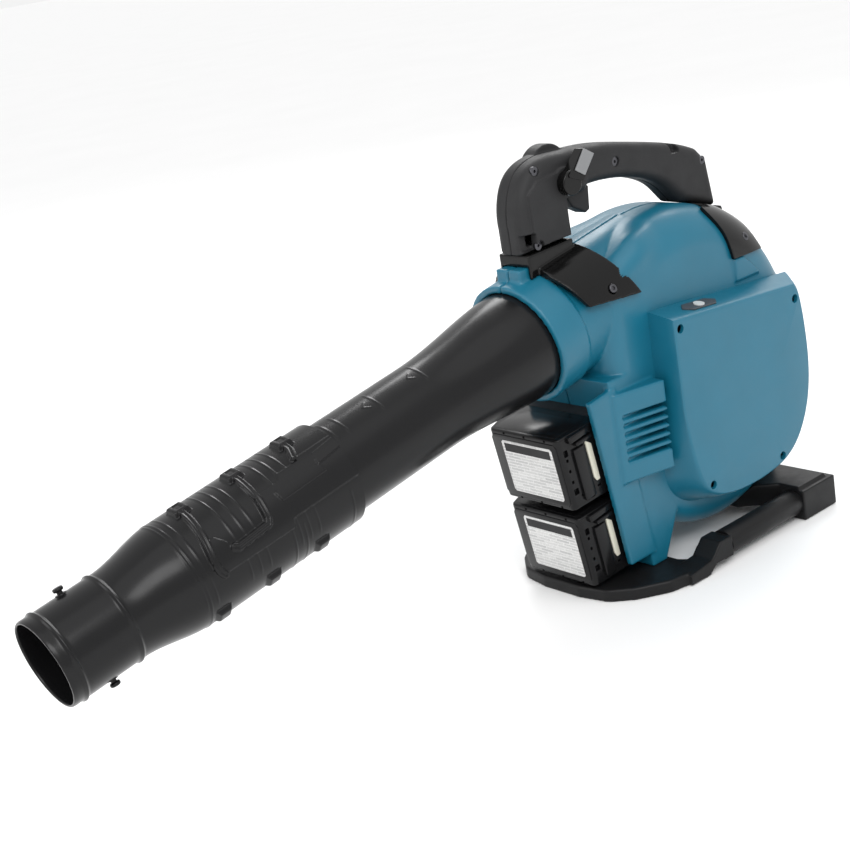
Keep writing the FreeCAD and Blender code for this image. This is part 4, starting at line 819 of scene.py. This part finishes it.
CAD_EDGE = 0.0005
for node, item in frame["nodes"].items():
    if item.hide_render:
        continue
    item.data.materials.clear()
    item.data.materials.append(MATERIALS[SLOT_OF[node]])
    joined = item.modifiers.new("weld", "WELD")
    joined.merge_threshold = WELD_REACH
    bevel = item.modifiers.new("bevel", "BEVEL")
    bevel.width = CAD_EDGE
    bevel.segments = 2
    bevel.limit_method = "ANGLE"
    bevel.angle_limit = math.radians(30)

# ---------------------------------------------------------------- stage

floor_mesh = bpy.data.meshes.new("floor")
FLOOR_DROP = -0.0004
FLOOR_HALF = 90
corners = [(x * FLOOR_HALF, y * FLOOR_HALF, 0) for x, y in ((-1, -1), (1, -1), (1, 1), (-1, 1))]
floor_mesh.from_pydata(corners, [], [(0, 1, 2, 3)])
floor = link("floor", floor_mesh)
floor.location.z = FLOOR_DROP
pale, tree, shader = new_material("pale_floor")
grain = noise(tree, tree.nodes.new("ShaderNodeTexCoord").outputs["Object"], 3.0)
ramp = tree.nodes.new("ShaderNodeValToRGB")
ramp.color_ramp.elements[0].color = (0.86, 0.86, 0.86, 1)
ramp.color_ramp.elements[1].color = (0.90, 0.90, 0.90, 1)
tree.links.new(grain, ramp.inputs["Fac"])
tree.links.new(ramp.outputs["Color"], shader.inputs["Base Color"])
shader.inputs["Roughness"].default_value = 0.7
floor.data.materials.append(pale)

world = bpy.data.worlds.new("studio")
world.use_nodes = True
world.node_tree.nodes["Background"].inputs["Color"].default_value = (1, 1, 1, 1)
world.node_tree.nodes["Background"].inputs["Strength"].default_value = 0.9
bpy.context.scene.world = world
bpy.context.scene.view_settings.view_transform = "Standard"

AIM = Vector((0.0, 0.0, 0.2))


def area_light(name, place, size, power):
    light = bpy.data.lights.new(name, "AREA")
    light.shape = "RECTANGLE"
    light.size, light.size_y = size
    light.energy = power
    item = bpy.data.objects.new(name, light)
    bpy.context.scene.collection.objects.link(item)
    item.location = place
    item.rotation_euler = (AIM - Vector(place)).to_track_quat("-Z", "Y").to_euler()


for name, place, size, power in (
    ("key", (-1.0, -1.6, 1.9), (1.5, 0.9), 22),
    ("rim", (1.3, 1.0, 1.7), (1.6, 0.7), 26),
    ("front", (-2.0, 0.7, 1.0), (0.8, 1.6), 10),
):
    area_light(name, place, size, power)
sun = bpy.data.objects.new("sky_fill", bpy.data.lights.new("sky_fill", "SUN"))
sun.data.energy = 0.7
sun.data.angle = math.radians(70)
sun.rotation_euler = (math.radians(28), math.radians(-14), 0)
bpy.context.scene.collection.objects.link(sun)

# ---------------------------------------------------------------- camera

LENS_MM = 36.0 * 1.8061764705882353
CAMERA_PLACE = (-0.9149, -0.9762, 0.6116)
CAMERA_TURN = (1.786, -0.891, 0.169)
PIPE_SLOPE = 0.178

camera = bpy.data.objects.new("camera", bpy.data.cameras.new("camera"))
bpy.context.scene.collection.objects.link(camera)
camera.data.sensor_width = 36.0
camera.data.lens = LENS_MM
camera.data.clip_end = 50.0
turn = Vector(CAMERA_TURN)
to_camera = np.array(Matrix.Rotation(turn.length, 3, turn.normalized()))
slope = PIPE_SLOPE
pipe_axes = np.array([
    [math.cos(slope), 0, math.sin(slope)],
    [0, 1, 0],
    [-math.sin(slope), 0, math.cos(slope)],
])
view = to_camera @ pipe_axes
columns = Matrix([view[0], -view[1], -view[2]]).transposed()
camera.matrix_world = Matrix.Translation(CAMERA_PLACE) @ columns.to_4x4()
bpy.context.scene.camera = camera
